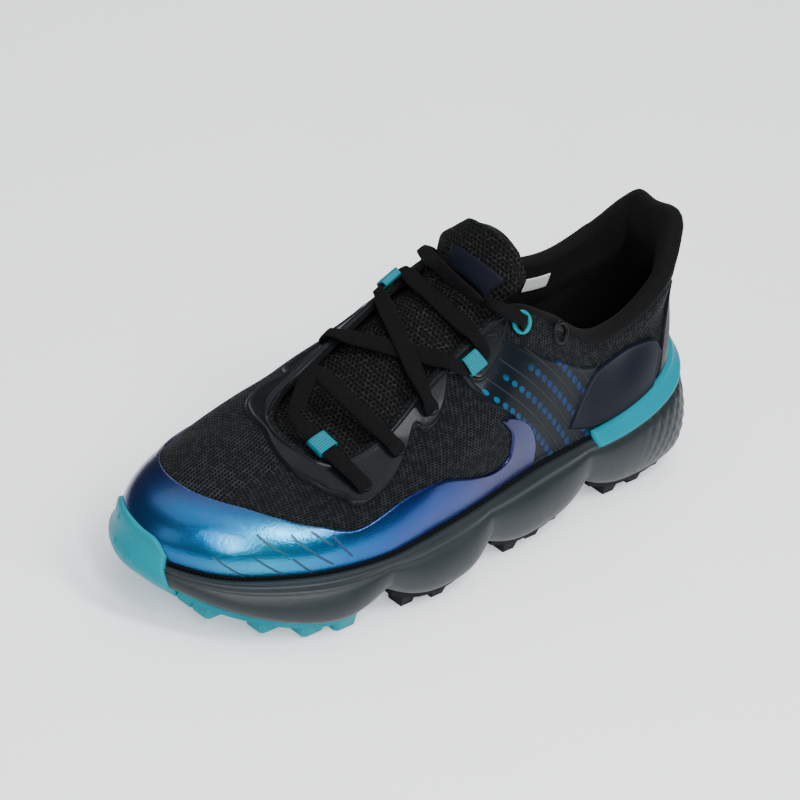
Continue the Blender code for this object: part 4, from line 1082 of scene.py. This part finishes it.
outer, inner = strip[: half + 1], strip[np.mod(-np.arange(half + 1), ROUND_FOAM)]
share = np.linspace(0.0, 1.0, 7)[None, 1:-1, None]
bed = outer[:, -1:] * (1 - share) + inner[:, -1:] * share
under = inner[:, :1] * (1 - share) + outer[:, :1] * share
around_foam = np.concatenate([outer, bed, inner[:, ::-1], under], axis=1)
piece("foam", around_foam, slate_foam, "slate_foam", ["midsole"], caps=False)

# %% [markdown]
# ### The clip's band
#
# The clip hugs the top of the foam's wall and climbs over its rim. Its path is the upper part of the wall
# plus the first millimetres of the upper, smoothed where the two meet, and its thickness follows a quarter
# circle.

# %% Clip
def climbing(u, low, wall_rows, rib_low, rib_high, rib_rows, lift):
    """Path up the foam's wall from share low, then up the upper's ribs, its corner averaged."""
    out = level_normals(sole_line, u, 0.003)[:, None]
    wall = foam_wall(u, np.linspace(low, 0.985, wall_rows)) + out * GAP
    v = rib_low + (rib_high[:, None] - rib_low) * np.linspace(0.0, 1.0, rib_rows)[None, :]
    ribs, normal = dressed(u[:, None] * np.ones((1, rib_rows)), v)
    path = np.concatenate([wall, ribs + normal * lift], axis=1)
    for _ in range(2):
        path[:, 2:-2] = (path[:, :-4] + path[:, 1:-3] + path[:, 2:-2] + path[:, 3:-1] + path[:, 4:]) / 5.0
    return path, unit(np.cross(np.gradient(path, axis=1), np.gradient(path, axis=0)))


CLIP_STEPS = 240
CLIP_THICK = 0.0018
clip_u = np.linspace(side_u("inner", 0.20), 1.0 + side_u("outer", 0.242), CLIP_STEPS)
path, face = climbing(clip_u, 0.855, 12, 0.03, np.full(CLIP_STEPS, 0.078), 6, 0.0012)
edge = np.minimum(from_edges(path), from_edges(path.transpose(1, 0, 2)).T)
crown = CLIP_THICK * np.sqrt(1.0 - (1.0 - np.clip(edge / CLIP_THICK, 0.0, 1.0)) ** 2)
over_face, under_face = path + face * crown[..., None], path - face * 0.0008
piece("heel_band", np.concatenate([over_face, under_face[:, ::-1]], axis=1), teal_plastic, "teal_plastic",
      ["heel_clip"])

# %% [markdown]
# ### Piping at the bite line
#
# A thin woven piping fills the joint between cloth and foam all the way round. It is an oval carried along
# the bite line.

# %% Piping
piping_cloth = Finish("piping_weave", roughness=0.8, specular_ior_level=0.1)
x, y, _ = piping_cloth.cloth_place()
weft = wave(x + y, 0.0016)
warp = wave(x - y, 0.0016)
piping_weave = piping_cloth.show(
    piping_cloth.blend(weft * warp, (0.0010, 0.0010, 0.0012), (0.0080, 0.0085, 0.0090)),
    None, weft * warp, 0.0004)
UP = round_u(700)
turns = np.linspace(0.0, 2.0 * np.pi, 13)[:-1]
ring_out = level_normals(bite_line, UP)
line = bite_line(UP) + ring_out * 0.0006 + np.array([0.0, 0.0, 0.0006])
tube = line[:, None] + ring_out[:, None] * (0.0012 * np.cos(turns))[None, :, None]
tube[:, :, 2] += 0.0011 * np.sin(turns)[None, :]
map_u, map_v = np.meshgrid(np.concatenate([UP, [1.0]]), np.arange(13) * 0.0006, indexing="ij")
piece("piping", tube, piping_weave, "black_mesh", closed=(True, True),
      lengths=np.stack([run_at(map_u), map_v], axis=-1))

# %% [markdown]
# ## Outsole
#
# Dark rubber pods lie under the rear lobes, and their solids already have the right shape, so they only get
# their finish. The teal pod under the forefoot shows in the picture, with its lugs and the bumper that
# climbs the toe, so it is drawn again with chamfered lugs and a rounded bumper.

# %% Rubber finishes
def rubber(name, light, dark, roughness):
    """Moulded rubber: two close shades in clouds, and a fine grain."""
    made = Finish(name, roughness=roughness, specular_ior_level=0.12)
    cloud = made.noise(50.0, 4.0)
    grain = made.noise(1800.0, 2.0)
    return made.show(made.blend(cloud.step(0.3, 0.75), light, dark), cloud * 0.2 + roughness - 0.1,
                     grain * 0.7 + cloud * 0.3, 0.00018)


dark_rubber = rubber("dark_rubber", (0.0050, 0.0058, 0.0064), (0.0085, 0.0092, 0.0098), 0.62)
teal_rubber = rubber("teal_rubber", (0.0, 0.215, 0.270), (0.0, 0.175, 0.220), 0.42)
for node in ("outsole_heel", "outsole_arch", "outsole_ball"):
    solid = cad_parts[node]
    solid.data.materials.clear()
    solid.data.materials.append(dark_rubber)
print("rubber:", dark_rubber.name, teal_rubber.name)

# %% Teal forefoot pod
POD_GAP, POD_TOE, PLATE_INSET = 0.012, 0.008, 0.0004
LUG_LONG, LUG_WIDE, LUG_PITCH = 0.0134, 0.0115, 0.0155
edge_line = foam_wall(UF, [0.0])[:, 0]
outer_edge, inner_edge = edge_line[: half + 1], edge_line[np.mod(-np.arange(half + 1), ROUND_FOAM)]
edge_x = (outer_edge[:, 0] + inner_edge[:, 0]) / 2.0
first, last = VALLEYS[2] * LENGTH + POD_GAP / 2.0, LENGTH - EDGE_ROUND - POD_TOE / 2.0


def plate_sides(along):
    """Outer and inner edge of the pod's plate, a little inside the foam's underside."""
    outside = np.interp(along, edge_x, outer_edge[:, 1]) - PLATE_INSET
    inside = np.interp(along, edge_x, inner_edge[:, 1]) + PLATE_INSET
    return outside, inside


along = np.linspace(first, last, 60)
y_outer, y_inner = plate_sides(along)
share = np.linspace(0.0, 1.0, 15)[None, :]
across = y_outer[:, None] * (1 - share) + y_inner[:, None] * share
top = np.broadcast_to((under_height(along) - GAP)[:, None], across.shape)
over = np.stack([np.broadcast_to(along[:, None], across.shape), across, top], axis=2)
over_under = np.concatenate([over, (over - [0, 0, PLATE])[:, ::-1]], axis=1)
piece("forefoot_plate", over_under, teal_rubber, "teal_rubber", ["outsole_forefoot"], crisp=35)


def lug_grid(x, y):
    """A rubber lug as rings of eight points: root, shoulder, chamfer and foot, narrowing to the floor."""
    turns = np.radians([22.5, 67.5, 112.5, 157.5, 202.5, 247.5, 292.5, 337.5])
    square = np.stack([fuller(np.cos(turns), 0.35), fuller(np.sin(turns), 0.35)], axis=1)
    root = float(under_height(np.array(x))) - GAP - PLATE + 0.001
    low = float(spring_height(np.array(x)))
    rings = []
    for height, grow in ((root, 1.0), (root - 0.0012, 0.98), (low + 0.0009, 0.92), (low, 0.82)):
        level_ring = square * np.array([LUG_LONG, LUG_WIDE]) / 2.0 * grow + np.array([x, y])
        rings.append(np.column_stack([level_ring, np.full(8, height)]))
    return np.array(rings)


lug_grids = []
for row_number in range(4):
    x = (first + last) / 2.0 + (row_number - 1.5) * LUG_PITCH
    y_outer, y_inner = plate_sides(np.array([x - LUG_LONG / 2.0, x + LUG_LONG / 2.0]))
    inset = LUG_WIDE / 2.0 - 0.0006
    lug_grids += [lug_grid(x, y) for y in np.linspace(y_outer.min() - inset, y_inner.max() + inset, 5)]
joined("forefoot_lugs", lug_grids, teal_rubber, "teal_rubber", crisp=35)

# %% Toe bumper
BUMPER_ROWS = (
    # side, place, edge
    ("outer", 0.9880, 0.06),
    ("outer", 0.9945, 0.125),
    ("tip", 1.0000, 0.155),
    ("inner", 0.9900, 0.17),
    ("inner", 0.9700, 0.16),
    ("inner", 0.9480, 0.10),
)
BUMPER_DOTS = (
    # share across, metres up the climb
    (0.35, 0.020),
    (0.62, 0.022),
    (0.45, 0.030),
    (0.72, 0.031),
    (0.30, 0.012),
    (0.55, 0.013),
)
BUMPER_STEPS = 90
BUMPER_THICK = 0.0016
DOT_HIGH, DOT_RADIUS = 0.0006, 0.0011
keys = [side_u(row[0], row[1]) for row in BUMPER_ROWS]
UB = np.linspace(keys[0], keys[-1], BUMPER_STEPS)
sole_out = level_normals(sole_line, UB, 0.003)[:, None]
climb, face = climbing(UB, 0.0, 22, 0.05, edge_curve(BUMPER_ROWS, UB), 12, 0.0013)
edge = np.minimum(from_edges(climb), from_edges(climb.transpose(1, 0, 2)).T)
edge[:, :20] = from_edges(climb.transpose(1, 0, 2)).T[:, :20]
near = np.clip(edge / BUMPER_THICK, 0.0, 1.0)
thick = BUMPER_THICK * np.sqrt(1.0 - (1.0 - near) ** 2)
climb_run = np.concatenate([[0.0], np.cumsum(np.linalg.norm(np.diff(climb[BUMPER_STEPS // 2], axis=0), axis=1))])
for spot_u, spot_run in BUMPER_DOTS:
    gap_u = (np.linspace(0, 1, BUMPER_STEPS) - spot_u)[:, None] * np.linalg.norm(climb[0, 10] - climb[-1, 10])
    away = gap_u**2 + (climb_run - spot_run)[None, :] ** 2
    thick = thick + DOT_HIGH * np.exp(-((away / DOT_RADIUS**2) ** 1.5))
over = climb + face * thick[..., None]
root = over[:, :1] - sole_out * POD_TOE
root[:, :, 2] = under_height(root[:, :, 0]) - GAP - PLATE
over[:, 0, 2] = under_height(over[:, 0, 0]) - GAP - PLATE
under = climb - face * 0.0003
grid = np.concatenate([root, over, under[:, ::-1]], axis=1)
piece("toe_bumper", grid, teal_rubber, "teal_rubber")

# %% [markdown]
# ## Tongue
#
# The tongue is a padded blade of woven mesh that lies under the throat and stands up over it, curled round
# the shin. Its outside is a smooth surface through sections: the first ones hang between the throat's
# edges, the last ones are the free top. A plain navy patch is fused to the top.

# %% Tongue surface
TONGUE_ROWS = (
    # place, crown
    (0.955, 0.000),
    (0.880, 0.006),
    (0.800, 0.021),
    (0.710, 0.042),
    (0.620, 0.056),
    (0.530, 0.070),
)
TONGUE_TOP_ROWS = (
    # along, height, middle, half, droop
    (0.428, 1.070, -0.016, 0.172, 0.090),
    (0.411, 1.155, -0.006, 0.205, 0.060),
    (0.398, 1.232, 0.006, 0.190, 0.095),
    (0.394, 1.260, 0.010, 0.135, 0.045),
)
TONGUE_SINK = -0.0034
TONGUE_CURL = 0.18
TONGUE_KEYS = (0.0, 0.14, 0.5, 0.86, 1.0)
TONGUE_STEPS = (150, 61)
TONGUE_FACES = (0.4, 0.0, 1.0)


def lifted(u, v, lift):
    """One point off the skin along its normal."""
    u, v = np.array([u], float), np.array([v], float)
    return (skin(u, v) + skin_normals(u, v) * lift)[0]


def tongue_surface(steps_along, steps_across):
    """Smooth grid through the sections, from toe to top and from the outer edge to the inner."""
    across = np.linspace(0.0, 1.0, steps_across)
    rows = []
    for place, crown in TONGUE_ROWS:
        edges = [lifted(side_u(side, place), 0.97, TONGUE_SINK) for side in ("outer", "inner")]
        flaps = [lifted(side_u(side, place), 0.84, TONGUE_SINK) for side in ("outer", "inner")]
        middle = (edges[0] + edges[1]) / 2.0 + np.array([0.0, 0.0, crown * INSTEP_HEIGHT])
        points = [flaps[0], edges[0], middle, edges[1], flaps[1]]
        rows.append(curve_through(TONGUE_KEYS, points, across))
    spread = 2.0 * across - 1.0
    for along, height, middle, half_width, droop in TONGUE_TOP_ROWS:
        x = UPPER_SETBACK + UPPER_LENGTH * along - TONGUE_CURL * half_width * BALL_WIDTH * spread**2
        y = (middle - half_width * spread) * BALL_WIDTH
        z = (height - droop * np.abs(spread) ** 2.4) * INSTEP_HEIGHT
        rows.append(np.stack([x, y, z], axis=1))
    rows = np.array(rows)
    share = np.linspace(0.0, 1.0, steps_along)
    return curve_through(np.linspace(0.0, 1.0, len(rows)), rows, share), share, across


def grid_normals(grid, towards):
    """Unit normals of an open grid, turned to the side that towards lies on."""
    normal = unit(np.cross(np.gradient(grid, axis=0), np.gradient(grid, axis=1)))
    return normal * np.sign((normal * towards).sum(axis=2).mean())


def walked(grid):
    """Lengths walked along the two ways of a grid, as a map."""
    down = np.linalg.norm(np.diff(grid, axis=0), axis=2)
    over = np.linalg.norm(np.diff(grid, axis=1), axis=2)
    x = np.concatenate([np.zeros((len(grid), 1)), np.cumsum(over, axis=1)], axis=1)
    y = np.concatenate([np.zeros((1, grid.shape[1])), np.cumsum(down, axis=0)], axis=0)
    middle = slice(grid.shape[1] // 2, grid.shape[1] // 2 + 1)
    return np.stack([x - x[:, middle], y[:, middle] * np.ones_like(x)], axis=-1)


# %% Tongue piece
tongue_cloth = Finish("tongue_mesh", roughness=0.75, specular_ior_level=0.1)
x, y, _ = tongue_cloth.cloth_place()
hole = tongue_cloth.holes(x, y, 0.0022, 0.0019)
fleck = tongue_cloth.noise(800.0, 1.0)
yarn = tongue_cloth.blend(fleck.step(0.48, 0.7), (0.0048, 0.0050, 0.0053), (0.020, 0.021, 0.022))
tongue_mesh = tongue_cloth.show(
    tongue_cloth.blend(hole, yarn, (0.0007, 0.0007, 0.0008)), None, 1.0 - hole, 0.0010)
top_grid, share, across = tongue_surface(*TONGUE_STEPS)
tongue_out = grid_normals(top_grid, TONGUE_FACES)
depth = 0.005 * (0.5 + 0.6 * smooth(share / 0.8))
edge = 0.30 + 0.70 * np.clip(np.sin(np.pi * across), 0.0, 1.0) ** 0.5
puff = 0.0007 * smooth((share - 0.7) / 0.15)[:, None] * np.sin(np.pi * across)[None, :] ** 0.4
round_off = np.clip(np.sin(np.pi * across), 0.0, 1.0) ** 0.35
tongue_top = top_grid + tongue_out * (puff - 0.0012 * (1.0 - round_off[None, :]))[..., None]
under = top_grid - tongue_out * (depth[:, None] * edge[None, :])[..., None]
spot = walked(top_grid)
tongue_piece = piece(
    "tongue_pad", np.concatenate([tongue_top, under[:, ::-1]], axis=1), tongue_mesh, "tongue_mesh", ["tongue"],
    lengths=np.concatenate([spot, spot[:, ::-1], spot[:, :1]], axis=1))

# %% Plain patch on the tongue
BADGE_ALONG, BADGE_ACROSS = (0.605, 0.765), slice(7, 46)
BADGE_THICK, BADGE_ROUND = 0.0007, 0.0015
badge_cloth = Finish("navy_patch", roughness=0.5, specular_ior_level=0.08)
cloud = badge_cloth.noise(120.0, 3.0)
fine = badge_cloth.noise(1500.0, 1.0)
navy_patch = badge_cloth.show(
    badge_cloth.blend(cloud, (0.0040, 0.0052, 0.0105), (0.0068, 0.0084, 0.0150)),
    cloud * 0.2 + 0.4, fine, 0.00015)
rows_in = slice(*(int(TONGUE_STEPS[0] * end) for end in BADGE_ALONG))
badge_base = tongue_top[rows_in, BADGE_ACROSS]
badge_out = tongue_out[rows_in, BADGE_ACROSS]
edge = np.minimum(from_edges(badge_base), from_edges(badge_base.transpose(1, 0, 2)).T)
raise_by = BADGE_THICK * np.sqrt(1.0 - (1.0 - np.clip(edge / BADGE_ROUND, 0.0, 1.0)) ** 2)
badge_over = badge_base + badge_out * raise_by[..., None]
badge_under = badge_base - badge_out * SHEET_ROOT
piece("tongue_patch", np.concatenate([badge_over, badge_under[:, ::-1]], axis=1), navy_patch, "tongue_mesh")

# %% [markdown]
# ## Laces
#
# A pulled lace takes the shortest way over whatever it lies on. In the plane of the lace that is easy to
# work out: the heights of the bed under the straight line between two eyelets are taken, and the lace is
# the upper hull of them, as if a string were stretched over the profile. Its two ends dip into their
# eyelets.

# %% Lace paths
LACE_WIDTH, LOOP_WIDTH, LACE_THICK = 0.0072, 0.0060, 0.0015
EYELETS = {
    # name: side, place, share up the rib; on the tongue its shares along and across
    "L1": ("outer", 0.827, 0.690), "L2": ("outer", 0.766, 0.794), "L3": ("outer", 0.686, 0.831),
    "L4f": ("outer", 0.615, 0.872), "L4b": ("outer", 0.562, 0.868), "L5": ("outer", 0.472, 0.895),
    "M1": ("inner", 0.948, 1.130), "M2": ("inner", 0.805, 1.190), "M3": ("inner", 0.715, 0.900),
    "M4f": ("inner", 0.612, 0.990), "M4b": ("inner", 0.556, 1.000), "M5": ("inner", 0.484, 0.960),
    "T": ("tongue", 0.569, 0.250),
}
LACE_RUNS = (
    # piece, its solid, corners, height over the bed of each span; none where it lies in a webbing loop
    ("lace_low", "lace_front", ("L1", "M1", "M2", "L2"), (0.0004, 0.0014, 0.0004)),
    ("lace_crossed", "lace_middle", ("L3", "M4f", "M4b", "L4b", "L4f", "M3"),
     (0.0024, None, 0.0010, None, 0.0004)),
    ("lace_high", "lace_top", ("M5", "T", "L5"), (0.0024, 0.0024)),
)
LACE_STEP = 0.0009
throat_u = np.linspace(side_u("outer", 0.34), side_u("inner", 0.34), 361)
bed_u, bed_v = np.meshgrid(throat_u, np.linspace(0.5, 1.0, 36), indexing="ij")
bed_points, bed_normals = dressed(bed_u, bed_v)
bed_points = bed_points + bed_normals * 0.0010
bed_points = np.concatenate([bed_points.reshape(-1, 3), tongue_top.reshape(-1, 3)])
bed_normals = np.concatenate([bed_normals.reshape(-1, 3), tongue_out.reshape(-1, 3)])


def eyelet_point(name, lift):
    """A corner of the laces: on the skin, or on the tongue at its two shares."""
    side, place, up = EYELETS[name]
    if side == "tongue":
        row, column = (int(share * (steps - 1)) for share, steps in zip((place, up), TONGUE_STEPS))
        return tongue_top[row, column] + tongue_out[row, column] * lift
    return lifted(side_u(side, place), up, lift)


def taut(start, end, clearance, steps=61):
    """Upper hull of the bed's profile under the chord from start to end."""
    chord = end - start
    reach = np.linalg.norm(chord)
    along = chord / reach
    near = np.argmin(((bed_points - (start + end) / 2.0) ** 2).sum(axis=1))
    up = bed_normals[near] + np.array([0.1, 0.0, 0.1])
    up = unit(up - (up @ along) * along)
    side = np.cross(along, up)
    rel = bed_points - start
    a, h, w = rel @ along, rel @ up, rel @ side
    s = np.linspace(0.0, reach, steps)
    close = (np.abs(a[None, :] - s[:, None]) < 0.0016) & (np.abs(w) < LACE_WIDTH * 0.5)[None, :]
    profile = np.where(close, h[None, :], -1.0).max(axis=1) + clearance
    profile[[0, -1]] = 0.0
    k = np.arange(steps)
    i, j = np.meshgrid(k, k, indexing="ij")
    span = np.maximum(j - i, 1)[..., None]
    lines = profile[i][..., None] + (profile[j] - profile[i])[..., None] * (k - i[..., None]) / span
    covers = (i[..., None] <= k) & (k <= j[..., None]) & (i < j)[..., None]
    hull = np.where(covers, lines, -1.0).max(axis=(0, 1))
    for _ in range(3):
        hull[1:-1] = np.maximum(hull[1:-1], (hull[:-2] + 2.0 * hull[1:-1] + hull[2:]) / 4.0 - 0.00002)
    return start + along * s[:, None] + up * hull[:, None]


def averaged(values, passes):
    """Each value becomes a quarter of its two neighbours and half of itself, ends kept."""
    for _ in range(passes):
        values[1:-1] = (values[:-2] + 2.0 * values[1:-1] + values[2:]) / 4.0
    return values


def laid(corners, heights, lift):
    """A lace through its corners: spans joined, walked in even steps, then averaged into round corners."""
    points, tight, marks = [], [], [0]
    for first_name, last_name, height in zip(corners[:-1], corners[1:], heights):
        if height is None:
            (side, place_f, up_f), (_, place_b, up_b) = EYELETS[first_name], EYELETS[last_name]
            t = np.linspace(0.0, 1.0, 15)
            u_run = side_u(side, place_f) * (1.0 - t) + side_u(side, place_b) * t
            span = np.array([lifted(at, up_f + (up_b - up_f) * k, lift + 0.0008) for at, k in zip(u_run, t)])
        else:
            span = taut(eyelet_point(first_name, lift), eyelet_point(last_name, lift), lift - 0.0012 + height)
        points.append(span[1:] if points else span)
        tight.append(np.full(len(points[-1]), float(height is None)))
        marks.append(marks[-1] + len(points[-1]))
    points, tight = np.concatenate(points), np.concatenate(tight)
    run = np.concatenate([[0.0], np.cumsum(np.linalg.norm(np.diff(points, axis=0), axis=1))])
    even = np.linspace(0.0, run[-1], int(run[-1] / LACE_STEP) + 1)
    path = np.stack([np.interp(even, run, points[:, k]) for k in range(3)], axis=1)
    path, tight = averaged(path, 7), averaged(np.interp(even, run, tight), 7)
    way = unit(np.gradient(path, axis=0))
    bend = np.zeros(len(path))
    bend[4:-4] = np.linalg.norm(way[8:] - way[:-8], axis=1)
    width = LACE_WIDTH * (1.0 - 0.34 * np.clip(bend / 0.9, 0.0, 1.0)) * (1.0 - tight) + LOOP_WIDTH * tight
    nearest = np.argmin(((path[:, None] - bed_points[None]) ** 2).sum(axis=2), axis=1)
    up = unit(averaged(bed_normals[nearest], 14))
    first_span = int(run[marks[1] - 1] / LACE_STEP)
    return path, up, averaged(width, 5), tight, first_span


def lace_ribbon(path, up, width, thick=LACE_THICK, sides=16):
    """A flattened oval carried along the path: x is a power of the cosine, so that the edges stay full."""
    tangent = unit(np.gradient(path, axis=0))
    side = unit(np.cross(tangent, up))
    rise = np.cross(side, tangent)
    turns = np.linspace(0.0, 2.0 * np.pi, sides + 1)[:-1]
    wide = 0.5 * fuller(np.cos(turns), 0.7)
    tall = thick / 2.0 * fuller(np.sin(turns), 0.6)
    spread = np.broadcast_to(width, len(path))[:, None] * wide[None, :]
    grid = path[:, None] + side[:, None] * spread[..., None] + rise[:, None] * tall[None, :, None]
    run = np.concatenate([[0.0], np.cumsum(np.linalg.norm(np.diff(path, axis=0), axis=1))])
    map_x, map_y = np.meshgrid(run, np.concatenate([wide, wide[:1]]) * LACE_WIDTH, indexing="ij")
    return grid, np.stack([map_x, map_y], axis=-1)


# %% Lace finish and laces
lace_cloth = Finish("lace_weave", roughness=0.85, specular_ior_level=0.08)
x, y, _ = lace_cloth.cloth_place()
left_way, right_way_wave = wave(x + y, 0.0013), wave(x - y, 0.0013)
plait = left_way.larger(right_way_wave)
soft = lace_cloth.noise(300.0, 2.0)
lace_weave = lace_cloth.show(
    lace_cloth.blend(plait * 0.7 + soft * 0.3, (0.0016, 0.0016, 0.0018), (0.0075, 0.0075, 0.0080)),
    None, plait, 0.0004)

seat = LACE_THICK / 2.0 + 0.0018
DIP_STEPS = np.array([[0.0010, 0.0004], [0.0018, 0.0014], [0.0022, 0.0030]])
DIP_TILTS = np.array([[0.3], [0.8], [1.6]])
laid_runs = {}
for name, stands_for, corners, heights in LACE_RUNS:
    path, up, width, tight, first_span = laid(corners, heights, seat)
    laid_runs[name] = path, up, width, tight, first_span
    for end in (0, -1):
        tip, way, face = path[end], unit(path[end] - path[3 if end == 0 else -4]), up[end]
        extra = tip + DIP_STEPS[:, :1] * way - DIP_STEPS[:, 1:] * face
        tilt = unit(face + way * DIP_TILTS)
        pairs = ((extra, path), (tilt, up), (np.full(3, width[end]), width))
        if end == 0:
            path, up, width = (np.concatenate([a[::-1], b]) for a, b in pairs)
        else:
            path, up, width = (np.concatenate([b, a]) for a, b in pairs)
    grid, spot = lace_ribbon(path, up, width)
    piece(name, grid, lace_weave, "lace", [stands_for], lengths=spot)

# %% Webbing loops
webbing_cloth = Finish("webbing_weave", roughness=0.55, specular_ior_level=0.2)
x, y, _ = webbing_cloth.cloth_place()
warp, weft = wave(x, 0.0011), wave(y, 0.0008)
teal_webbing = webbing_cloth.show(
    webbing_cloth.blend(warp * 0.5 + weft * 0.5, (0.0, 0.100, 0.140), (0.0, 0.205, 0.265)),
    None, warp * 0.5 + weft * 0.5, 0.0003)


WEB_FACES = (0.0004, 0.0013)


def loop_piece(name, path, up, width, replaces):
    """A flat oval band of webbing round a short run of lace."""
    rings, spots = [], None
    for grow in WEB_FACES:
        grid, spots = lace_ribbon(path, up, width + 2 * grow, LACE_THICK + 2 * grow, 28)
        rings.append(grid)
    grid = np.concatenate([rings[1], rings[0][::-1]], axis=0)
    spots = np.concatenate([spots, spots[::-1], spots[:1]], axis=0)
    return piece(name, grid, teal_webbing, "teal_webbing", [replaces], closed=(True, True), lengths=spots)


path, up, width, tight, _ = laid_runs["lace_crossed"]
held = np.nonzero(tight > 0.88)[0]
split = int(np.argmax(np.diff(held))) + 1
for name, inside_loop in (("loop_inner", held[:split]), ("loop_outer", held[split:])):
    run = slice(inside_loop[0], inside_loop[-1] + 1)
    loop_piece(name + "_web", path[run], up[run], width[run], name)
path, up, width, _, first_span = laid_runs["lace_low"]
run = slice(int(first_span * 0.50), int(first_span * 0.72))
loop_piece("keeper", path[run], up[run], width[run], "loop_front")

# %% [markdown]
# ### Eyelets
#
# Moulded rings sit in the collar's corners, a teal one and a black one on each side, and a flat near-black
# disc in each is painted shade for its hole. In the film the holes are bare: a low rim round a dark hollow.

# %% Rings and holes
def ring_grid(side, place, up, radius, wire, lift, squash=1.0, tall=1.0, sides=14, steps=40):
    """A torus on the skin: a small circle carried round a larger one in the skin's own plane."""
    u = side_u(side, place)
    centre = lifted(u, up, lift)
    normal = skin_normals(np.array([u]), np.array([up]))[0]
    first = unit(np.cross(normal, [0.0, 0.0, 1.0]))
    second = np.cross(normal, first)
    a = np.linspace(0.0, 2.0 * np.pi, steps + 1)[:-1][:, None, None]
    b = np.linspace(0.0, 2.0 * np.pi, sides + 1)[:-1][None, :, None]
    spoke = first * np.cos(a) + second * np.sin(a) * squash
    return centre + spoke * (radius + wire * np.cos(b)) + normal * wire * tall * np.sin(b)


RING_COLOURS = {
    "ring_teal": ((0.0, 0.200, 0.245), (0.0, 0.155, 0.190)),
    "ring_black": ((0.0030, 0.0030, 0.0035), (0.0060, 0.0060, 0.0066)),
}
RING_PLACES = {"ring_teal": (0.474, 0.905), "ring_black": (0.368, 0.925)}
RING_RADIUS, RING_WIRE, RING_LIFT = 0.0042, 0.0010, 0.0012
ring_paint = {name: rubber(name, light, dark, 0.4) for name, (light, dark) in RING_COLOURS.items()}
# Painted shade: a flat near-black disc fills each ring's hole.
hollow = Finish("painted_hole_shade", roughness=0.9)
painted_hole_shade = hollow.show(hollow.blend(hollow.noise(500.0), (0.002, 0.002, 0.002), (0.006, 0.006, 0.007)))
for kind, (place, up) in RING_PLACES.items():
    for side in ("outer", "inner"):
        grid = ring_grid(side, place, up, RING_RADIUS, RING_WIRE, RING_LIFT)
        piece(f"{kind}_{side}_fine", grid, ring_paint[kind], kind, [f"{kind}_{side}"], closed=(True, True))
hole_grids = [
    ring_grid(side, place, up, 0.0001, 0.0034, 0.0004, 1.0, 0.12)
    for side in ("outer", "inner") for place, up in RING_PLACES.values()]
joined("ring_hole_shades", hole_grids, painted_hole_shade, "ring_black", closed=(True, True))
rim_grids = [ring_grid(*EYELETS[name], 0.0030, 0.0006, 0.0010, 0.75) for name in ("L1", "L2", "L3")]
joined("film_rims", rim_grids, slate_film, "slate_film", closed=(True, True))

# %% [markdown]
# ### Blank tag
#
# A small white tag is stitched to the lining on the inner side. It carries nothing.

# %% Tag
tag_cloth = Finish("tag_satin", roughness=0.5)
fine = tag_cloth.noise(900.0, 1.0)
tag_satin = tag_cloth.show(tag_cloth.blend(fine, (0.55, 0.57, 0.58), (0.75, 0.77, 0.78)), None, fine, 0.0001)
u = np.linspace(side_u("inner", 0.235), side_u("inner", 0.185), 24)[:, None] * np.ones((1, 12))
v = np.linspace(0.80, 0.93, 12)[None, :] * np.ones((24, 1))
lining = skin(u, v) - skin_normals(u, v) * (upper_wall(u, v) + 0.0006)[..., None]
tag_back = lining - skin_normals(u, v) * SHEET_ROOT
piece("tag", np.concatenate([lining, tag_back[:, ::-1]], axis=1), tag_satin, "black_mesh")

# %% [markdown]
# ## Footbed
#
# The footbed's solid has the right shape. It only gets a cloth finish, on Object coordinates because a CAD
# solid has no map.

# %% Footbed cloth
bed_cloth = Finish("insole_cloth", roughness=0.9, specular_ior_level=0.08)
fine = bed_cloth.noise(1100.0, 2.0)
cloud = bed_cloth.noise(60.0, 3.0)
insole_cloth = bed_cloth.show(
    bed_cloth.blend(fine * 0.6 + cloud * 0.4, (0.0022, 0.0022, 0.0025), (0.0070, 0.0072, 0.0080)),
    None, fine, 0.0004)
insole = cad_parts["insole"]
insole.data.materials.clear()
insole.data.materials.append(insole_cloth)
